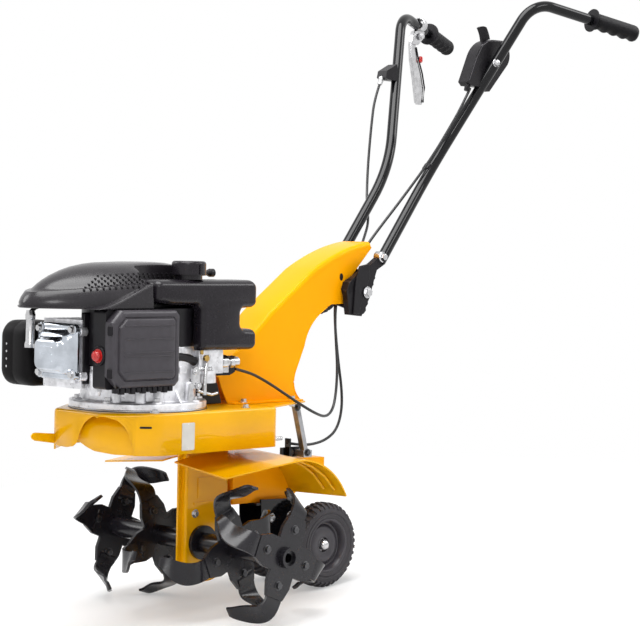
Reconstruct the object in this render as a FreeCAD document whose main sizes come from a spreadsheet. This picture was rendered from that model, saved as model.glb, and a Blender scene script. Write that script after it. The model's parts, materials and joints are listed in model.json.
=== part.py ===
import FreeCAD, Part
import math
import os
import re
import Sketcher
from FreeCAD import Placement, Rotation, Vector

# A rotary tiller: engine on a belt pan, chain case, tine rotor, two transport wheels
# and a tilting handlebar.  Design frame: origin on the tine shaft, +X the machine's
# left, +Y its rear, +Z up, pan level.  The stance at the end tips the whole machine
# until the wheels and the tines stand on the floor.

doc = FreeCAD.newDocument("RotaryTiller")
sizes = doc.addObject("Spreadsheet::Sheet", "Sizes")

DIMENSIONS = """
# belt pan
pan_half 118
pan_nose_half 59
pan_front -262
pan_turn -190
pan_side_end 70
pan_tail_half 50
pan_tail 202
pan_top 234
pan_bottom 163
sheet 2.5
tongue_reach 52
tongue_high 13
tongue_rise 10
pan_edge_round 3.5
pan_corner_round 9
# chain case
case_front -36
case_rear 60
case_bottom -62
case_half 13
case_corner 34
flange_half 2
case_edge_round 4
flange_lap 8
bearing_rad 29
bearing_deep 7
# rear channel and guard
channel_half 15
channel_low 58
channel_end 292
guard_half 152
guard_front -77
guard_rear 208
guard_ridge 94
guard_crest 153
guard_edge_crest 146
guard_lip 128
guard_drop 72
# column
column_half 38
column_wall 2.5
foot_wide 20
foot_front 32
foot_rear 196
head_rear 376
head_top 514
# tines
shaft_rad 12
fit 0.06
hub_rad 17
tine_span 214
inner_span 95
tine_rad 115
plate_thick 6.5
blade_thick 4.5
blade_wide 34
star_reach 68
star_notch 38
arm_angle 68
blade_bend 64
hub_proud 9
hub_start =case_half+bearing_deep+5.5
hub_joint 158
# wheels
wheel_rad 75
tyre_half 19
wheel_track 61
wheel_back 241
wheel_low 21
rim_rad 47
axle_rad 6
carrier_half 28
carrier_thick 4
# handlebar
bar_rad 10
bar_foot_y 388
bar_foot_z 479
bar_knee_y 523
bar_knee_z 655
bar_top_half 165
bar_top_y 673
bar_top_z 970
bar_end_half 205
bar_end_y 800
bar_end_z 945.5
grip_long 108
throttle_y 612
throttle_z 850
perch_y 736
perch_z 920
bar_gap 15
bar_half =column_half+bar_gap
cable_rad 2.5
pivot_y 347
pivot_z 423
pin_rad 5
grip_rad 16.5
cheek_thick 12
# engine
crank_y -135
engine_flange 112
engine_drum =engine_flange-18
engine_base =pan_top+0.2
flange_high 14
drum_high 104
drum_ribs 16
bore_z =engine_base+92
head_front -298
core_half 40
fin_half 48
fin_pitch 9
fin_count 8
rocker_half 50
rocker_deep 30
plug_rad 9
dome_low =engine_base+163.8
dome_half 112
dome_fore 238
dome_aft 112
dome_high 74
filter_inner 100
filter_outer 122
filter_front -287
filter_rear -170
tank_inner 50
tank_outer 110
tank_nose -192
tank_face -96
tank_rear 30
tank_low =engine_base+95.8
tank_high =engine_base+210.8
cap_rad 30
cap_x =tank_outer-28
cap_y =tank_face-6
"""

row = 0
aliases = set()
for line in DIMENSIONS.strip().splitlines():
    row += 1
    if line.startswith("#"):
        sizes.set(f"A{row}", line.strip("# "))
        continue
    name, number = line.split()
    sizes.set(f"A{row}", name)
    sizes.set(f"B{row}", number)
    sizes.setAlias(f"B{row}", name)
    aliases.add(name)
doc.recompute()


def bound(text):
    """An expression on sheet names, written for use outside the sheet."""
    return re.sub(r"[a-z_]+\w*", lambda m: "Sizes." + m[0] if m[0] in aliases else m[0], str(text))


def value(text):
    """The number that an expression on sheet names comes to, in mm."""
    return float(sizes.evalExpression(str(text)))


def role(body, name):
    return next(f for f in body.Origin.OriginFeatures if f.Role == name)


def body(label):
    part = doc.addObject("PartDesign::Body", label)
    part.Label = label
    return part


def sketch(owner, plane, path, offset="0", name="outline"):
    """A closed outline whose corners follow the sheet.

    Each step of the path is a corner (a, b) or an arc (a, b, through_a, through_b)
    that reaches the corner over the point it passes through.
    """
    flat = owner.newObject("Sketcher::SketchObject", f"{owner.Label}_{name}")
    flat.AttachmentSupport = [(role(owner, plane), "")]
    flat.MapMode = "FlatFace"
    flat.setExpression("AttachmentOffset.Base.z", bound(offset))
    corners = [Vector(value(step[0]), value(step[1]), 0) for step in path]
    for number, step in enumerate(path):
        begin, end = corners[number - 1], corners[number]
        if len(step) == 2:
            flat.addGeometry(Part.LineSegment(begin, end), False)
        else:
            through = Vector(value(step[2]), value(step[3]), 0)
            flat.addGeometry(Part.Arc(begin, through, end), False)
    for number, step in enumerate(path):
        edge = flat.Geometry[number]
        follows = (number + 1) % len(path)
        ends = [flat.getPoint(number, 1), flat.getPoint(number, 2)]
        last = 2 if ends[1].distanceToPoint(corners[number]) < 1e-6 else 1
        after = [flat.getPoint(follows, 1), flat.getPoint(follows, 2)]
        first = 1 if after[0].distanceToPoint(corners[number]) < 1e-6 else 2
        flat.addConstraint(Sketcher.Constraint("Coincident", number, last, follows, first))
        for axis, text in zip("XY", step):
            spot = getattr(corners[number], axis.lower())
            index = flat.addConstraint(
                Sketcher.Constraint("Distance" + axis, -1, 1, number, last, spot))
            flat.setExpression(f"Constraints[{index}]", bound(text))
        if len(step) == 4:
            point = flat.addGeometry(Part.Point(Vector(value(step[2]), value(step[3]), 0)), True)
            flat.addConstraint(Sketcher.Constraint("PointOnObject", point, 1, number))
            for axis, text in zip("XY", step[2:]):
                index = flat.addConstraint(
                    Sketcher.Constraint("Distance" + axis, -1, 1, point, 1, value(text)))
                flat.setExpression(f"Constraints[{index}]", bound(text))
    return flat


def pad(owner, plane, path, length, offset="0", middle=False, name="outline"):
    flat = sketch(owner, plane, path, offset, name)
    solid = owner.newObject("PartDesign::Pad", f"{owner.Label}_{name}_pad")
    solid.Profile = flat
    solid.setExpression("Length", bound(length))
    solid.Midplane = middle
    doc.recompute()
    return solid


def pocket(owner, plane, path, length, offset="0", middle=False, name="opening", reverse=False):
    flat = sketch(owner, plane, path, offset, name)
    before = owner.Shape.Volume
    hole = owner.newObject("PartDesign::Pocket", f"{owner.Label}_{name}_cut")
    hole.Profile = flat
    hole.setExpression("Length", bound(length))
    hole.Midplane = middle
    hole.Reversed = reverse
    doc.recompute()
    assert owner.Shape.Volume < before - 1, f"{hole.Name} cuts nothing"
    return hole


def turned(label, path, axis="X"):
    """A body turned about its own X axis from a half section (along, radius),
    or about its own Z axis from a half section (radius, height)."""
    piece = body(label)
    flat = sketch(piece, "XY_Plane" if axis == "X" else "XZ_Plane", path)
    solid = piece.newObject("PartDesign::Revolution", f"{label}_turn")
    solid.Profile = flat
    solid.ReferenceAxis = (role(piece, f"{axis}_Axis"), [""])
    solid.Angle = 360
    doc.recompute()
    return piece


def ringed(owner, solid, count):
    """Repeats a body's feature evenly about its Z axis."""
    pattern = owner.newObject("PartDesign::PolarPattern", f"{solid.Name}_ring")
    pattern.Originals = [solid]
    pattern.Axis = (role(owner, "Z_Axis"), [""])
    pattern.Angle = 360
    pattern.setExpression("Occurrences", bound(count))
    doc.recompute()
    return pattern


def shift(piece, along="0", back="0", up="0"):
    for axis, text in zip("xyz", (along, back, up)):
        piece.setExpression(f"Placement.Base.{axis}", bound(text))
    return piece


def block(label, x, y, z):
    """A box between two bounds on each axis."""
    box = doc.addObject("Part::Box", label)
    for side, (low, high) in zip(("Length", "Width", "Height"), (x, y, z)):
        box.setExpression(side, bound(f"({high}) - ({low})"))
    return shift(box, *(low for low, high in (x, y, z)))


def rod(label, radius, start, length, axis="X", at=("0", "0")):
    """A cylinder along an axis, from start, with its centre line at the other two places."""
    bar = doc.addObject("Part::Cylinder", label)
    bar.setExpression("Radius", bound(radius))
    bar.setExpression("Height", bound(length))
    turn = {"X": Rotation(Vector(0, 1, 0), 90), "Y": Rotation(Vector(1, 0, 0), -90), "Z": Rotation()}
    bar.Placement = Placement(Vector(), turn[axis])
    place = list(at)
    place.insert("XYZ".index(axis), start)
    return shift(bar, *place)


def cut(label, base, *tools):
    result = doc.addObject("Part::Cut", label)
    result.Base = base
    result.Tool = tools[0] if len(tools) == 1 else fuse(f"{label}_tools", *tools)
    return result


def fuse(label, *pieces):
    result = doc.addObject("Part::MultiFuse", label)
    result.Shapes = list(pieces)
    return result


def both(label, *pieces):
    """Like pieces that share one node without touching."""
    result = doc.addObject("Part::Compound", label)
    result.Links = list(pieces)
    return result


def feature(label, shape):
    piece = doc.addObject("Part::Feature", label)
    piece.Shape = shape
    return piece


def rounded(owner, radius, chosen, name):
    """Rounds the edges of a body's latest feature that the test picks."""
    before = owner.Tip
    edges = [f"Edge{n}" for n, edge in enumerate(before.Shape.Edges, 1) if chosen(edge)]
    assert edges, f"{owner.Label}_{name} rounds nothing"
    fillet = owner.newObject("PartDesign::Fillet", f"{owner.Label}_{name}")
    fillet.Base = (before, edges)
    fillet.setExpression("Radius", bound(radius))
    doc.recompute()
    return fillet


def upright(edge):
    return edge.Curve.TypeId == "Part::GeomLine" and abs(edge.tangentAt(edge.FirstParameter).z) > 0.999


def lengthwise(edge):
    return edge.Curve.TypeId == "Part::GeomLine" and abs(edge.tangentAt(edge.FirstParameter).x) > 0.999


def lying(axis, text):
    """A test for edges that lie wholly in one plane square to an axis."""
    level = value(text)
    return lambda edge: all(abs(getattr(edge.valueAt(t), axis) - level) < 0.01
                            for t in (edge.FirstParameter, edge.LastParameter))


def soft_path(points, share=0.45):
    """Straight runs joined by tangent arcs, each as large as its two runs allow."""
    edges, radii, begin = [], [], points[0]
    for before, corner, after in zip(points, points[1:], points[2:]):
        arrive, leave = (corner - before), (after - corner)
        turn = arrive.getAngle(leave)
        back = share * min(arrive.Length, leave.Length)
        radii.append(back / math.tan(turn / 2))
        arrive.normalize()
        leave.normalize()
        start, end = corner - arrive * back, corner + leave * back
        inward = (leave - arrive).normalize()
        centre = corner + inward * (radii[-1] / math.cos(turn / 2))
        middle = centre - inward * radii[-1]
        edges.append(Part.LineSegment(begin, start).toShape())
        edges.append(Part.Arc(start, middle, end).toShape())
        begin = end
    edges.append(Part.LineSegment(begin, points[-1]).toShape())
    return Part.Wire(edges), radii


def tube_along(points, radius, share=0.45):
    """A round bar along a soft path."""
    spine, radii = soft_path([Vector(*p) for p in points], share)
    start, heading = spine.Edges[0].valueAt(0), spine.Edges[0].tangentAt(0)
    ring = Part.Wire(Part.makeCircle(radius, start, heading))
    solid = spine.makePipeShell([ring], True, False)
    assert abs(solid.Volume / (math.pi * radius ** 2 * spine.Length) - 1) < 0.01, "tube volume"
    return solid, radii


# ---------------------------------------------------------------- belt pan
def deck_pan():
    pan = body("deck_pan")

    def plan(shrink):
        half, nose = f"pan_half-{shrink}", f"pan_nose_half-{shrink}*0.8"
        front, turn = f"pan_front+{shrink}", f"pan_turn+{shrink}*0.2"
        side, tail, rear = f"pan_side_end-{shrink}*0.3", f"pan_tail_half-{shrink}", f"pan_tail-{shrink}"
        right = [(nose, front), (half, turn), (half, side), (tail, rear)]
        left = [(f"-({x})", y) for x, y in reversed(right)]
        return right + left

    pad(pan, "XY_Plane", plan("0"), "pan_top - pan_bottom", "pan_bottom", name="plan")
    rounded(pan, "pan_corner_round", upright, "corners")
    rounded(pan, "pan_edge_round", lying("z", "pan_top"), "rim")
    pocket(pan, "XY_Plane", plan("sheet"), "pan_top - pan_bottom - sheet", "pan_bottom",
           name="hollow", reverse=True)
    back = [("pan_half+9", "pan_side_end"), ("pan_half+9", "pan_tail+9"),
            ("-pan_half-9", "pan_tail+9"), ("-pan_half-9", "pan_side_end")]
    pocket(pan, "XY_Plane", back, "pan_top - pan_bottom - 4*sheet", "pan_bottom",
           name="open_rear", reverse=True)
    # the apron hangs as a rounded tongue from the nose, with an open corner on the left
    low = "pan_bottom"
    window = [("-pan_nose_half+3", f"{low}-9"), ("-pan_nose_half+3", f"{low}+21"),
              ("-22", f"{low}+10", "-pan_nose_half+14", f"{low}+12"),
              ("20", f"{low}+30", "4", f"{low}+17"), ("pan_nose_half-3", f"{low}+64", "37", f"{low}+52"),
              ("86", f"{low}+53", "73", f"{low}+64"), ("83", f"{low}+32", "89", f"{low}+42"),
              ("72", f"{low}+28"), ("pan_nose_half+1", f"{low}+9", "68", f"{low}+15"),
              ("pan_nose_half+1", f"{low}-9")]
    pocket(pan, "XZ_Plane", window, "80", "-pan_front+20-80", name="nose", reverse=True)
    slot = [("pan_half-17", f"{low}+48"), ("pan_half-1.5", f"{low}+48"),
            ("pan_half-1.5", f"{low}+50.5"), ("pan_half-17", f"{low}+50.5")]
    pocket(pan, "XZ_Plane", slot, "60", "-pan_turn-15", name="slot", reverse=True)
    # a spatula tongue runs forward from each side of the nose
    tongue = [("pan_front+9", f"{low}+1"), ("pan_front-tongue_reach*0.7", f"{low}+tongue_rise"),
              ("pan_front-tongue_reach*0.7", f"{low}+tongue_rise+tongue_high",
               "pan_front-tongue_reach", f"{low}+tongue_rise+tongue_high*0.6"),
              ("pan_front+9", f"{low}+tongue_high")]
    for name, start in (("tongue_left", "pan_nose_half-0.5"), ("tongue_right", "-pan_nose_half-3")):
        pad(pan, "YZ_Plane", tongue, "sheet+1", start, name=name)
    return pan


def chain_case():
    case = body("chain_case")

    def outline(lap):
        front, rear = f"case_front-{lap}", f"case_rear+{lap}"
        low, corner = f"case_bottom-{lap}", f"case_corner+{lap}"
        inset = f"({corner})*0.293"
        top = "pan_top-sheet-0.1"
        return [(front, top), (front, f"{low}+{corner}"),
                (f"{front}+{corner}", low, f"{front}+{inset}", f"{low}+{inset}"),
                (f"{rear}-({corner})", low),
                (rear, f"{low}+{corner}", f"{rear}-{inset}", f"{low}+{inset}"), (rear, top)]

    pad(case, "YZ_Plane", outline("0"), "2*case_half", middle=True, name="shell")
    rounded(case, "case_edge_round",
            lambda edge: abs(edge.CenterOfMass.x) > value("case_half") - 0.1
            and edge.CenterOfMass.z < value("pan_bottom"), "edges")
    pad(case, "YZ_Plane", outline("flange_lap"), "2*flange_half", middle=True, name="flange")
    panel = [("case_front+25", "guard_drop+4"), ("case_rear-8", "guard_drop+4"),
             ("case_rear-8", "guard_drop+38"), ("case_front+25", "guard_drop+38")]
    ridge = [("case_front+17", "guard_drop-8"), ("case_front+61", "guard_drop-8"),
             ("case_front+61", "guard_drop-3"), ("case_front+17", "guard_drop-3")]
    for side, start in (("left", "case_half-1"), ("right", "-case_half-1.5")):
        pad(case, "YZ_Plane", panel, "2.5", start, name=f"panel_{side}")
        pad(case, "YZ_Plane", ridge, "2.5", start, name=f"ridge_{side}")
    bore = rod("case_bore", "shaft_rad+2", "-case_half-5", "2*case_half+10")
    return cut("chain_case_bored", case, bore)


def bearings():
    rings = []
    for side in (1, -1):
        start = "case_half" if side > 0 else "-case_half-bearing_deep"
        ring = rod(f"bearing_outer_{side}", "bearing_rad", start, "bearing_deep")
        hole = rod(f"bearing_hole_{side}", "shaft_rad+fit", f"{start}-2", "bearing_deep+4")
        rings.append(cut(f"bearing_ring_{side}", ring, hole))
    return both("shaft_bearings", *rings)


def rear_channel():
    channel = body("rear_channel")
    side = [("case_rear+flange_lap", "channel_low"), ("guard_rear-4", "channel_low"),
            ("channel_end", "channel_low+50"), ("channel_end", "channel_low+68"),
            ("guard_rear-30", "guard_crest-22.5"), ("guard_rear-58", "guard_crest-12"),
            ("case_rear+flange_lap", "guard_crest-3")]
    pad(channel, "YZ_Plane", side, "2*channel_half", middle=True, name="side")
    inner = [("case_rear+flange_lap+4", "channel_low-9"), ("guard_rear+80", "channel_low-9"),
             ("channel_end-4", "channel_low+64"), ("guard_rear-30", "guard_crest-22.5-sheet-2"),
             ("guard_rear-58", "guard_crest-12-sheet-2"),
             ("case_rear+flange_lap+4", "guard_crest-3-sheet-2")]
    pocket(channel, "YZ_Plane", inner, "2*channel_half-2*sheet", middle=True, name="inside")
    return channel


def guard_sheet(label, side):
    guard = body(label)

    def band(front, lip, crest, fore_mid, aft_mid, drop):
        """The sheet's section: out along its top and back along its underside."""
        start, ridge = (front, lip), ("guard_ridge", crest, "12", f"{crest}-{fore_mid}")
        end = ("guard_rear", drop, "guard_rear-43", f"{crest}-{aft_mid}")
        under = "sheet"
        return [start, ridge, end, (f"guard_rear-{under}", f"{drop}-{under}*0.4"),
                ("guard_ridge", f"{crest}-{under}",
                 f"guard_rear-43-{under}*0.6", f"{crest}-{aft_mid}-{under}*0.9"),
                (front, f"{lip}-{under}", "12", f"{crest}-{fore_mid}-{under}")]

    hub = band("guard_front+11", "guard_lip+13", "guard_crest", "2", "24", "guard_drop")
    rim = band("guard_front", "guard_lip", "guard_edge_crest", "8", "21", "guard_drop+5")
    near, far = ("channel_half+0.2", "guard_half") if side > 0 else ("-channel_half-0.2", "-guard_half")
    first = sketch(guard, "YZ_Plane", hub, near, "hub_edge")
    second = sketch(guard, "YZ_Plane", rim, far, "outer_edge")
    sheet = guard.newObject("PartDesign::AdditiveLoft", f"{label}_sheet")
    sheet.Profile = first
    sheet.Sections = [second]
    sheet.Ruled = True
    doc.recompute()
    return guard


# ---------------------------------------------------------------- column
def column():
    post = body("column")

    def top_line(drop):
        """Points from the front foot to the head, set down by the wall."""
        return [("-12", f"290-{drop}"), ("130", f"389-{drop}", "62", f"333-{drop}"),
                ("232", f"463-{drop}"), ("head_rear", f"head_top-{drop}", "305", f"496.5-{drop}")]

    side = top_line("0") + [
        ("head_rear+5", "503"), ("314", "437"), ("311", "402"), ("275", "401"),
        ("207", "329", "228", "371"), ("187", "287"),
        ("foot_rear+4", "pan_top+0.2", "183", "254"), ("foot_front", "pan_top+0.2"), ("16", "262"),
        ("8", "281")]
    pad(post, "YZ_Plane", side, "2*column_half", middle=True, name="side")
    inner = top_line("column_wall*1.2") + [
        ("head_rear+60", "head_top-4"), ("head_rear+60", "200"), ("-40", "200"), ("-40", "270")]
    pocket(post, "YZ_Plane", inner, "2*column_half-2*column_wall", middle=True, name="inside")
    for name, start in (("foot_left", "column_half-column_wall"),
                        ("foot_right", "-column_half-foot_wide+column_wall")):
        plate = [("foot_front", "pan_top+0.2"), ("foot_rear", "pan_top+0.2"),
                 ("foot_rear", "pan_top+0.2+column_wall"), ("foot_front", "pan_top+0.2+column_wall")]
        pad(post, "YZ_Plane", plate, "foot_wide", start, name=name)
    return post


def tilt_plates():
    """Two toothed cheeks inside the column head that carry the handlebar pin."""
    plates = []
    for side in (1, -1):
        cheek = body(f"tilt_cheek_{side}")
        start = "column_half-column_wall-4.2" if side > 0 else "-column_half+column_wall+0.2"
        outline = [("288", "440"), ("294", "400"), ("pivot_y-4", "pivot_z-36"),
                   ("pivot_y+18", "pivot_z-4", "pivot_y+13", "pivot_z-24"), ("pivot_y+12", "pivot_z+36"),
                   ("pivot_y-6", "pivot_z+44")]
        pad(cheek, "YZ_Plane", outline, "4", start, name="cheek")
        hole = rod(f"tilt_hole_{side}", "pin_rad+fit", f"{start}-5", "14", at=("pivot_y", "pivot_z"))
        plates.append(cut(f"tilt_plate_{side}", cheek, hole))
    return both("tilt_plates", *plates)


def stay():
    bar = body("stay")
    edge = [("pan_tail-20", "pan_top-sheet-0.2"), ("pan_tail-13", "pan_top-sheet-0.2"),
            ("channel_end-52", "guard_crest-24.3"), ("channel_end-60", "guard_crest-24.3")]
    pad(bar, "YZ_Plane", edge, "16", "-8", name="strip")
    return bar


def wheel_carrier():
    plates = []
    for side in (1, -1):
        plate = body(f"carrier_plate_{side}")
        start = "carrier_half-carrier_thick" if side > 0 else "-carrier_half"
        outline = [("tine_rad+12", "-2"), ("tine_rad+9", "channel_low+6"),
                   ("guard_rear-2", "channel_low+2"),
                   ("wheel_back+14", "-wheel_low+4"),
                   ("wheel_back-14", "-wheel_low-4", "wheel_back+4", "-wheel_low-15")]
        pad(plate, "YZ_Plane", outline, "carrier_thick", start, name="plate")
        plates.append(plate)
    bridge = block("carrier_bridge", ("-carrier_half+1", "carrier_half-1"),
                   ("case_rear+flange_lap+46", "guard_rear-12"),
                   ("channel_low-carrier_thick-0.1", "channel_low-0.1"))
    bore = rod("carrier_bore", "axle_rad", "-60", "120", at=("wheel_back", "-wheel_low"))
    return cut("wheel_carrier", fuse("carrier_body", bridge, *plates), bore)


def wheel_axle():
    inner = "wheel_track-tyre_half"
    bar = rod("axle_bar", "axle_rad", "-wheel_track-2", "2*wheel_track+4", at=("wheel_back", "-wheel_low"))
    parts = [bar]
    for side in (1, -1):
        sleeve_start = "carrier_half" if side > 0 else f"-({inner})+0.3"
        parts.append(rod(f"axle_sleeve_{side}", "axle_rad+4", sleeve_start, f"{inner}-0.3-carrier_half",
                         at=("wheel_back", "-wheel_low")))
        nut_start = "wheel_track-4.7" if side > 0 else "-wheel_track-2"
        parts.append(rod(f"axle_nut_{side}", "axle_rad+4", nut_start, "6.7",
                         at=("wheel_back", "-wheel_low")))
    return fuse("wheel_axle", *parts)


# ---------------------------------------------------------------- tine rotor
def blade(angle, plate_x, over):
    """One curved tine: flat on its arm, then swept back and bent over sideways by over.

    Each station gives the share of the bend, then how far out (in tine radii) and how
    far ahead of the arm's middle (in half blade widths) its leading and trailing edges are.
    """
    stations = [(0.0, 0.41, 1.0, 0.41, -1.0), (0.0, 0.66, 1.0, 0.63, -1.0),
                (0.08, 0.84, 0.91, 0.73, -1.06), (0.40, 0.955, 0.65, 0.78, -1.12),
                (0.72, 0.99, -0.3, 0.83, -1.47), (1.0, 0.975, -1.18, 0.89, -1.88)]
    reach, half, thick = value("tine_rad"), value("blade_wide") / 2, value("blade_thick")
    turn = math.radians(angle)
    out, ahead = Vector(0, math.cos(turn), math.sin(turn)), Vector(0, -math.sin(turn), math.cos(turn))
    edges = []
    for share, lead_out, lead_side, trail_out, trail_side in stations:
        side = Vector(plate_x + over * share, 0, 0)
        edges.append((side + out * (lead_out * reach) + ahead * (lead_side * half),
                      side + out * (trail_out * reach) + ahead * (trail_side * half)))
    rings = []
    for number, (lead, trail) in enumerate(edges):
        before, after = edges[max(number - 1, 0)], edges[min(number + 1, len(edges) - 1)]
        along = (after[0] + after[1] - before[0] - before[1]).normalize()
        thin = along.cross((lead - trail).normalize()).normalize() * (thick / 2)
        corners = [lead + thin, trail + thin, trail - thin, lead - thin]
        rings.append(Part.makePolygon(corners + corners[:1]))
    return Part.makeLoft(rings, True, False)


def tine_set(label, side, span, phase, hub, bends):
    """A star plate on its hub tube with four tines, as one welded solid.

    The bends say which way each tine leans: 1 towards the chain case, -1 away from it.
    """
    x, thick = side * value(span), value("plate_thick")
    notch, reach, half = value("star_notch"), value("star_reach"), value("blade_wide") / 2
    along = Vector(1, 0, 0)
    start, end = sorted(side * value(place) for place in hub)
    shape = Part.makeCylinder(value("hub_rad"), end - start, Vector(start, 0, 0), along)
    outline, blades = [], []
    shoulder = notch * math.sqrt(0.5)
    for quarter, bend in enumerate(bends):
        angle = value("arm_angle") + phase + 90 * quarter
        turn = math.radians(angle)
        out, ahead = Vector(0, math.cos(turn), math.sin(turn)), Vector(0, -math.sin(turn), math.cos(turn))
        for far, aside in ((shoulder, -shoulder), (reach * 0.68, -shoulder), (reach, -half - 1.5),
                           (reach, half + 1.5), (reach * 0.68, shoulder)):
            outline.append(Vector(x - thick / 2, 0, 0) + out * far + ahead * aside)
        blades.append(blade(angle, x, -side * bend * value("blade_bend")))
    star = Part.Face(Part.makePolygon(outline + outline[:1])).extrude(along * thick)
    for piece in [star, *blades]:
        shape = shape.fuse(piece)
    bore = Part.makeCylinder(value("shaft_rad") + 0.05, 600, Vector(-300, 0, 0), along)
    return feature(label, shape.cut(bore))


def tine_shaft():
    bar = rod("shaft_bar", "shaft_rad", "-tine_span-plate_thick", "2*tine_span+2*plate_thick")
    hollow = "shaft_rad-4"
    return cut("tine_shaft", bar,
               rod("shaft_bore_left", hollow, "tine_span-30", "60"),
               rod("shaft_bore_right", hollow, "-tine_span-30", "60"))


# ---------------------------------------------------------------- wheels
def tyre(label, side):
    half = "tyre_half"
    section = [(f"-{half}+3", "rim_rad"), (f"-{half}", "rim_rad+8"), (f"-{half}", "wheel_rad-9"),
               (f"-{half}*0.55", "wheel_rad-1.5", f"-{half}*0.9", "wheel_rad-3.5"),
               (f"{half}*0.55", "wheel_rad-1.5", "0", "wheel_rad"),
               (half, "wheel_rad-9", f"{half}*0.9", "wheel_rad-3.5"),
               (half, "rim_rad+8"), (f"{half}-3", "rim_rad")]
    return shift(turned(label, section), f"{side}*wheel_track", "wheel_back", "-wheel_low")


def rim(label, side):
    section = [("-tyre_half+0.3", "axle_rad+fit"), ("-tyre_half+0.3", "axle_rad+9"), ("-8", "axle_rad+10"),
               ("-8", "rim_rad-6"), ("-tyre_half+3", "rim_rad-4"), ("-tyre_half+3", "rim_rad-0.05"),
               ("tyre_half-3", "rim_rad-0.05"), ("tyre_half-3", "rim_rad-4"), ("-3", "rim_rad-8"),
               ("-3", "axle_rad+12"), ("-5", "axle_rad+8"), ("-5", "axle_rad+fit")]
    piece = turned(label, section)
    shift(piece, f"{side}*wheel_track", "wheel_back", "-wheel_low")
    if side < 0:
        piece.Placement = Placement(piece.Placement.Base, Rotation(Vector(0, 0, 1), 180))
        shift(piece, f"{side}*wheel_track", "wheel_back", "-wheel_low")
    return piece


# ---------------------------------------------------------------- handlebar
def handle_tube(label, side):
    half = value("bar_half")
    foot = (side * half, value("bar_foot_y"), value("bar_foot_z"))
    points = [foot] + [(side * value(x), value(y), value(z)) for x, y, z in
                       (("bar_half", "bar_knee_y", "bar_knee_z"), ("bar_top_half", "bar_top_y", "bar_top_z"),
                        ("bar_end_half", "bar_end_y", "bar_end_z"))]
    solid, radii = tube_along(points, value("bar_rad"), 0.32)
    return feature(label, solid)


def grip(label, side):
    """A hollow rubber grip that closes the tube's end, with a guard flange."""
    top = Vector(side * value("bar_top_half"), value("bar_top_y"), value("bar_top_z"))
    start = Vector(side * value("bar_end_half"), value("bar_end_y"), value("bar_end_z"))
    axis = (start - top).normalize()
    seat = start + axis * 0.3
    shape = Part.makeCylinder(value("grip_rad"), value("grip_long"), seat, axis)
    shape = shape.makeFillet(6, [edge for edge in shape.Edges if (edge.CenterOfMass - seat).Length > 50
                                 and edge.Closed])
    shape = shape.fuse(Part.makeCylinder(value("grip_rad") + 4, 5, seat, axis))
    return feature(label, shape)


def handle_cheek(label, side):
    cheek = body(label)
    start = "bar_half-10" if side > 0 else "-bar_half+10-cheek_thick"
    outline = [("bar_foot_y-8", "bar_foot_z+5.9"), ("bar_foot_y-22", "bar_foot_z-3"),
               ("pivot_y-34", "pivot_z+24"), ("pivot_y-48", "pivot_z+2"),
               ("pivot_y-40", "pivot_z-40"), ("pivot_y-8", "pivot_z-43"), ("pivot_y+10", "pivot_z-14"),
               ("pivot_y+30", "pivot_z+40"), ("bar_foot_y+7.8", "bar_foot_z-6.3")]
    pad(cheek, "YZ_Plane", outline, "cheek_thick", start, name="cheek")
    hole = rod(f"{label}_hole", "pin_rad+0.02", f"{start}-5", "cheek_thick+10", at=("pivot_y", "pivot_z"))
    return cut(f"{label}_bored", cheek, hole)


def tilt_pin():
    place = ("pivot_y", "pivot_z")
    bar = rod("pin_bar", "pin_rad", "-bar_half-8", "2*bar_half+16", at=place)
    parts = [bar]
    for side in (1, -1):
        start = "column_half-column_wall+0.3" if side > 0 else "-bar_half+10.1"
        parts.append(rod(f"pin_spacer_{side}", "pin_rad+3", start, "bar_half-10.4-column_half+column_wall",
                         at=place))
        head = "bar_half-10+cheek_thick" if side > 0 else "-bar_half+10-cheek_thick-6"
        parts.append(rod(f"pin_head_{side}", "pin_rad+4", head, "6", at=place))
    return fuse("tilt_pin", *parts)


# ---------------------------------------------------------------- engine
def crankcase():
    """The cast base: a bolted flange and a drum, with ribs between them."""
    base, top = "engine_base", "engine_base+flange_high"
    section = [("0", base), ("engine_flange", base), ("engine_flange", f"{top}-3"),
               ("engine_flange-3", top, "engine_flange-0.9", f"{top}-0.9"), ("engine_drum+3", top),
               ("engine_drum", f"{top}+3", "engine_drum+0.9", f"{top}+0.9"),
               ("engine_drum", f"{base}+drum_high-4"),
               ("engine_drum-4", f"{base}+drum_high", "engine_drum-1.2", f"{base}+drum_high-1.2"),
               ("0", f"{base}+drum_high")]
    drum = turned("crankcase", section, "Z")
    rib = [("engine_drum-2", f"{top}-1"), ("engine_flange-5", f"{top}-1"), ("engine_drum-2", f"{top}+22")]
    solid = pad(drum, "XZ_Plane", rib, "3", middle=True, name="rib")
    ringed(drum, solid, "drum_ribs")
    return shift(drum, back="crank_y")


def drum_room(label, low="engine_base", tall="200"):
    """The space that pieces around the drum leave for it."""
    return rod(label, "engine_drum+0.3", low, tall, "Z", ("0", "crank_y"))


def cylinder():
    core = block("cylinder_core", ("-core_half", "core_half"), ("head_front", "crank_y-60"),
                 ("bore_z-45", "bore_z+45"))
    fins = []
    for number in range(int(value("fin_count"))):
        start = f"head_front+6+{number}*fin_pitch"
        fins.append(block(f"cylinder_fin_{number}", ("-fin_half", "fin_half"), (start, f"{start}+3"),
                          ("bore_z-54", "bore_z+54")))
    return cut("cylinder", fuse("cylinder_body", core, *fins), drum_room("cylinder_room"))


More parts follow.
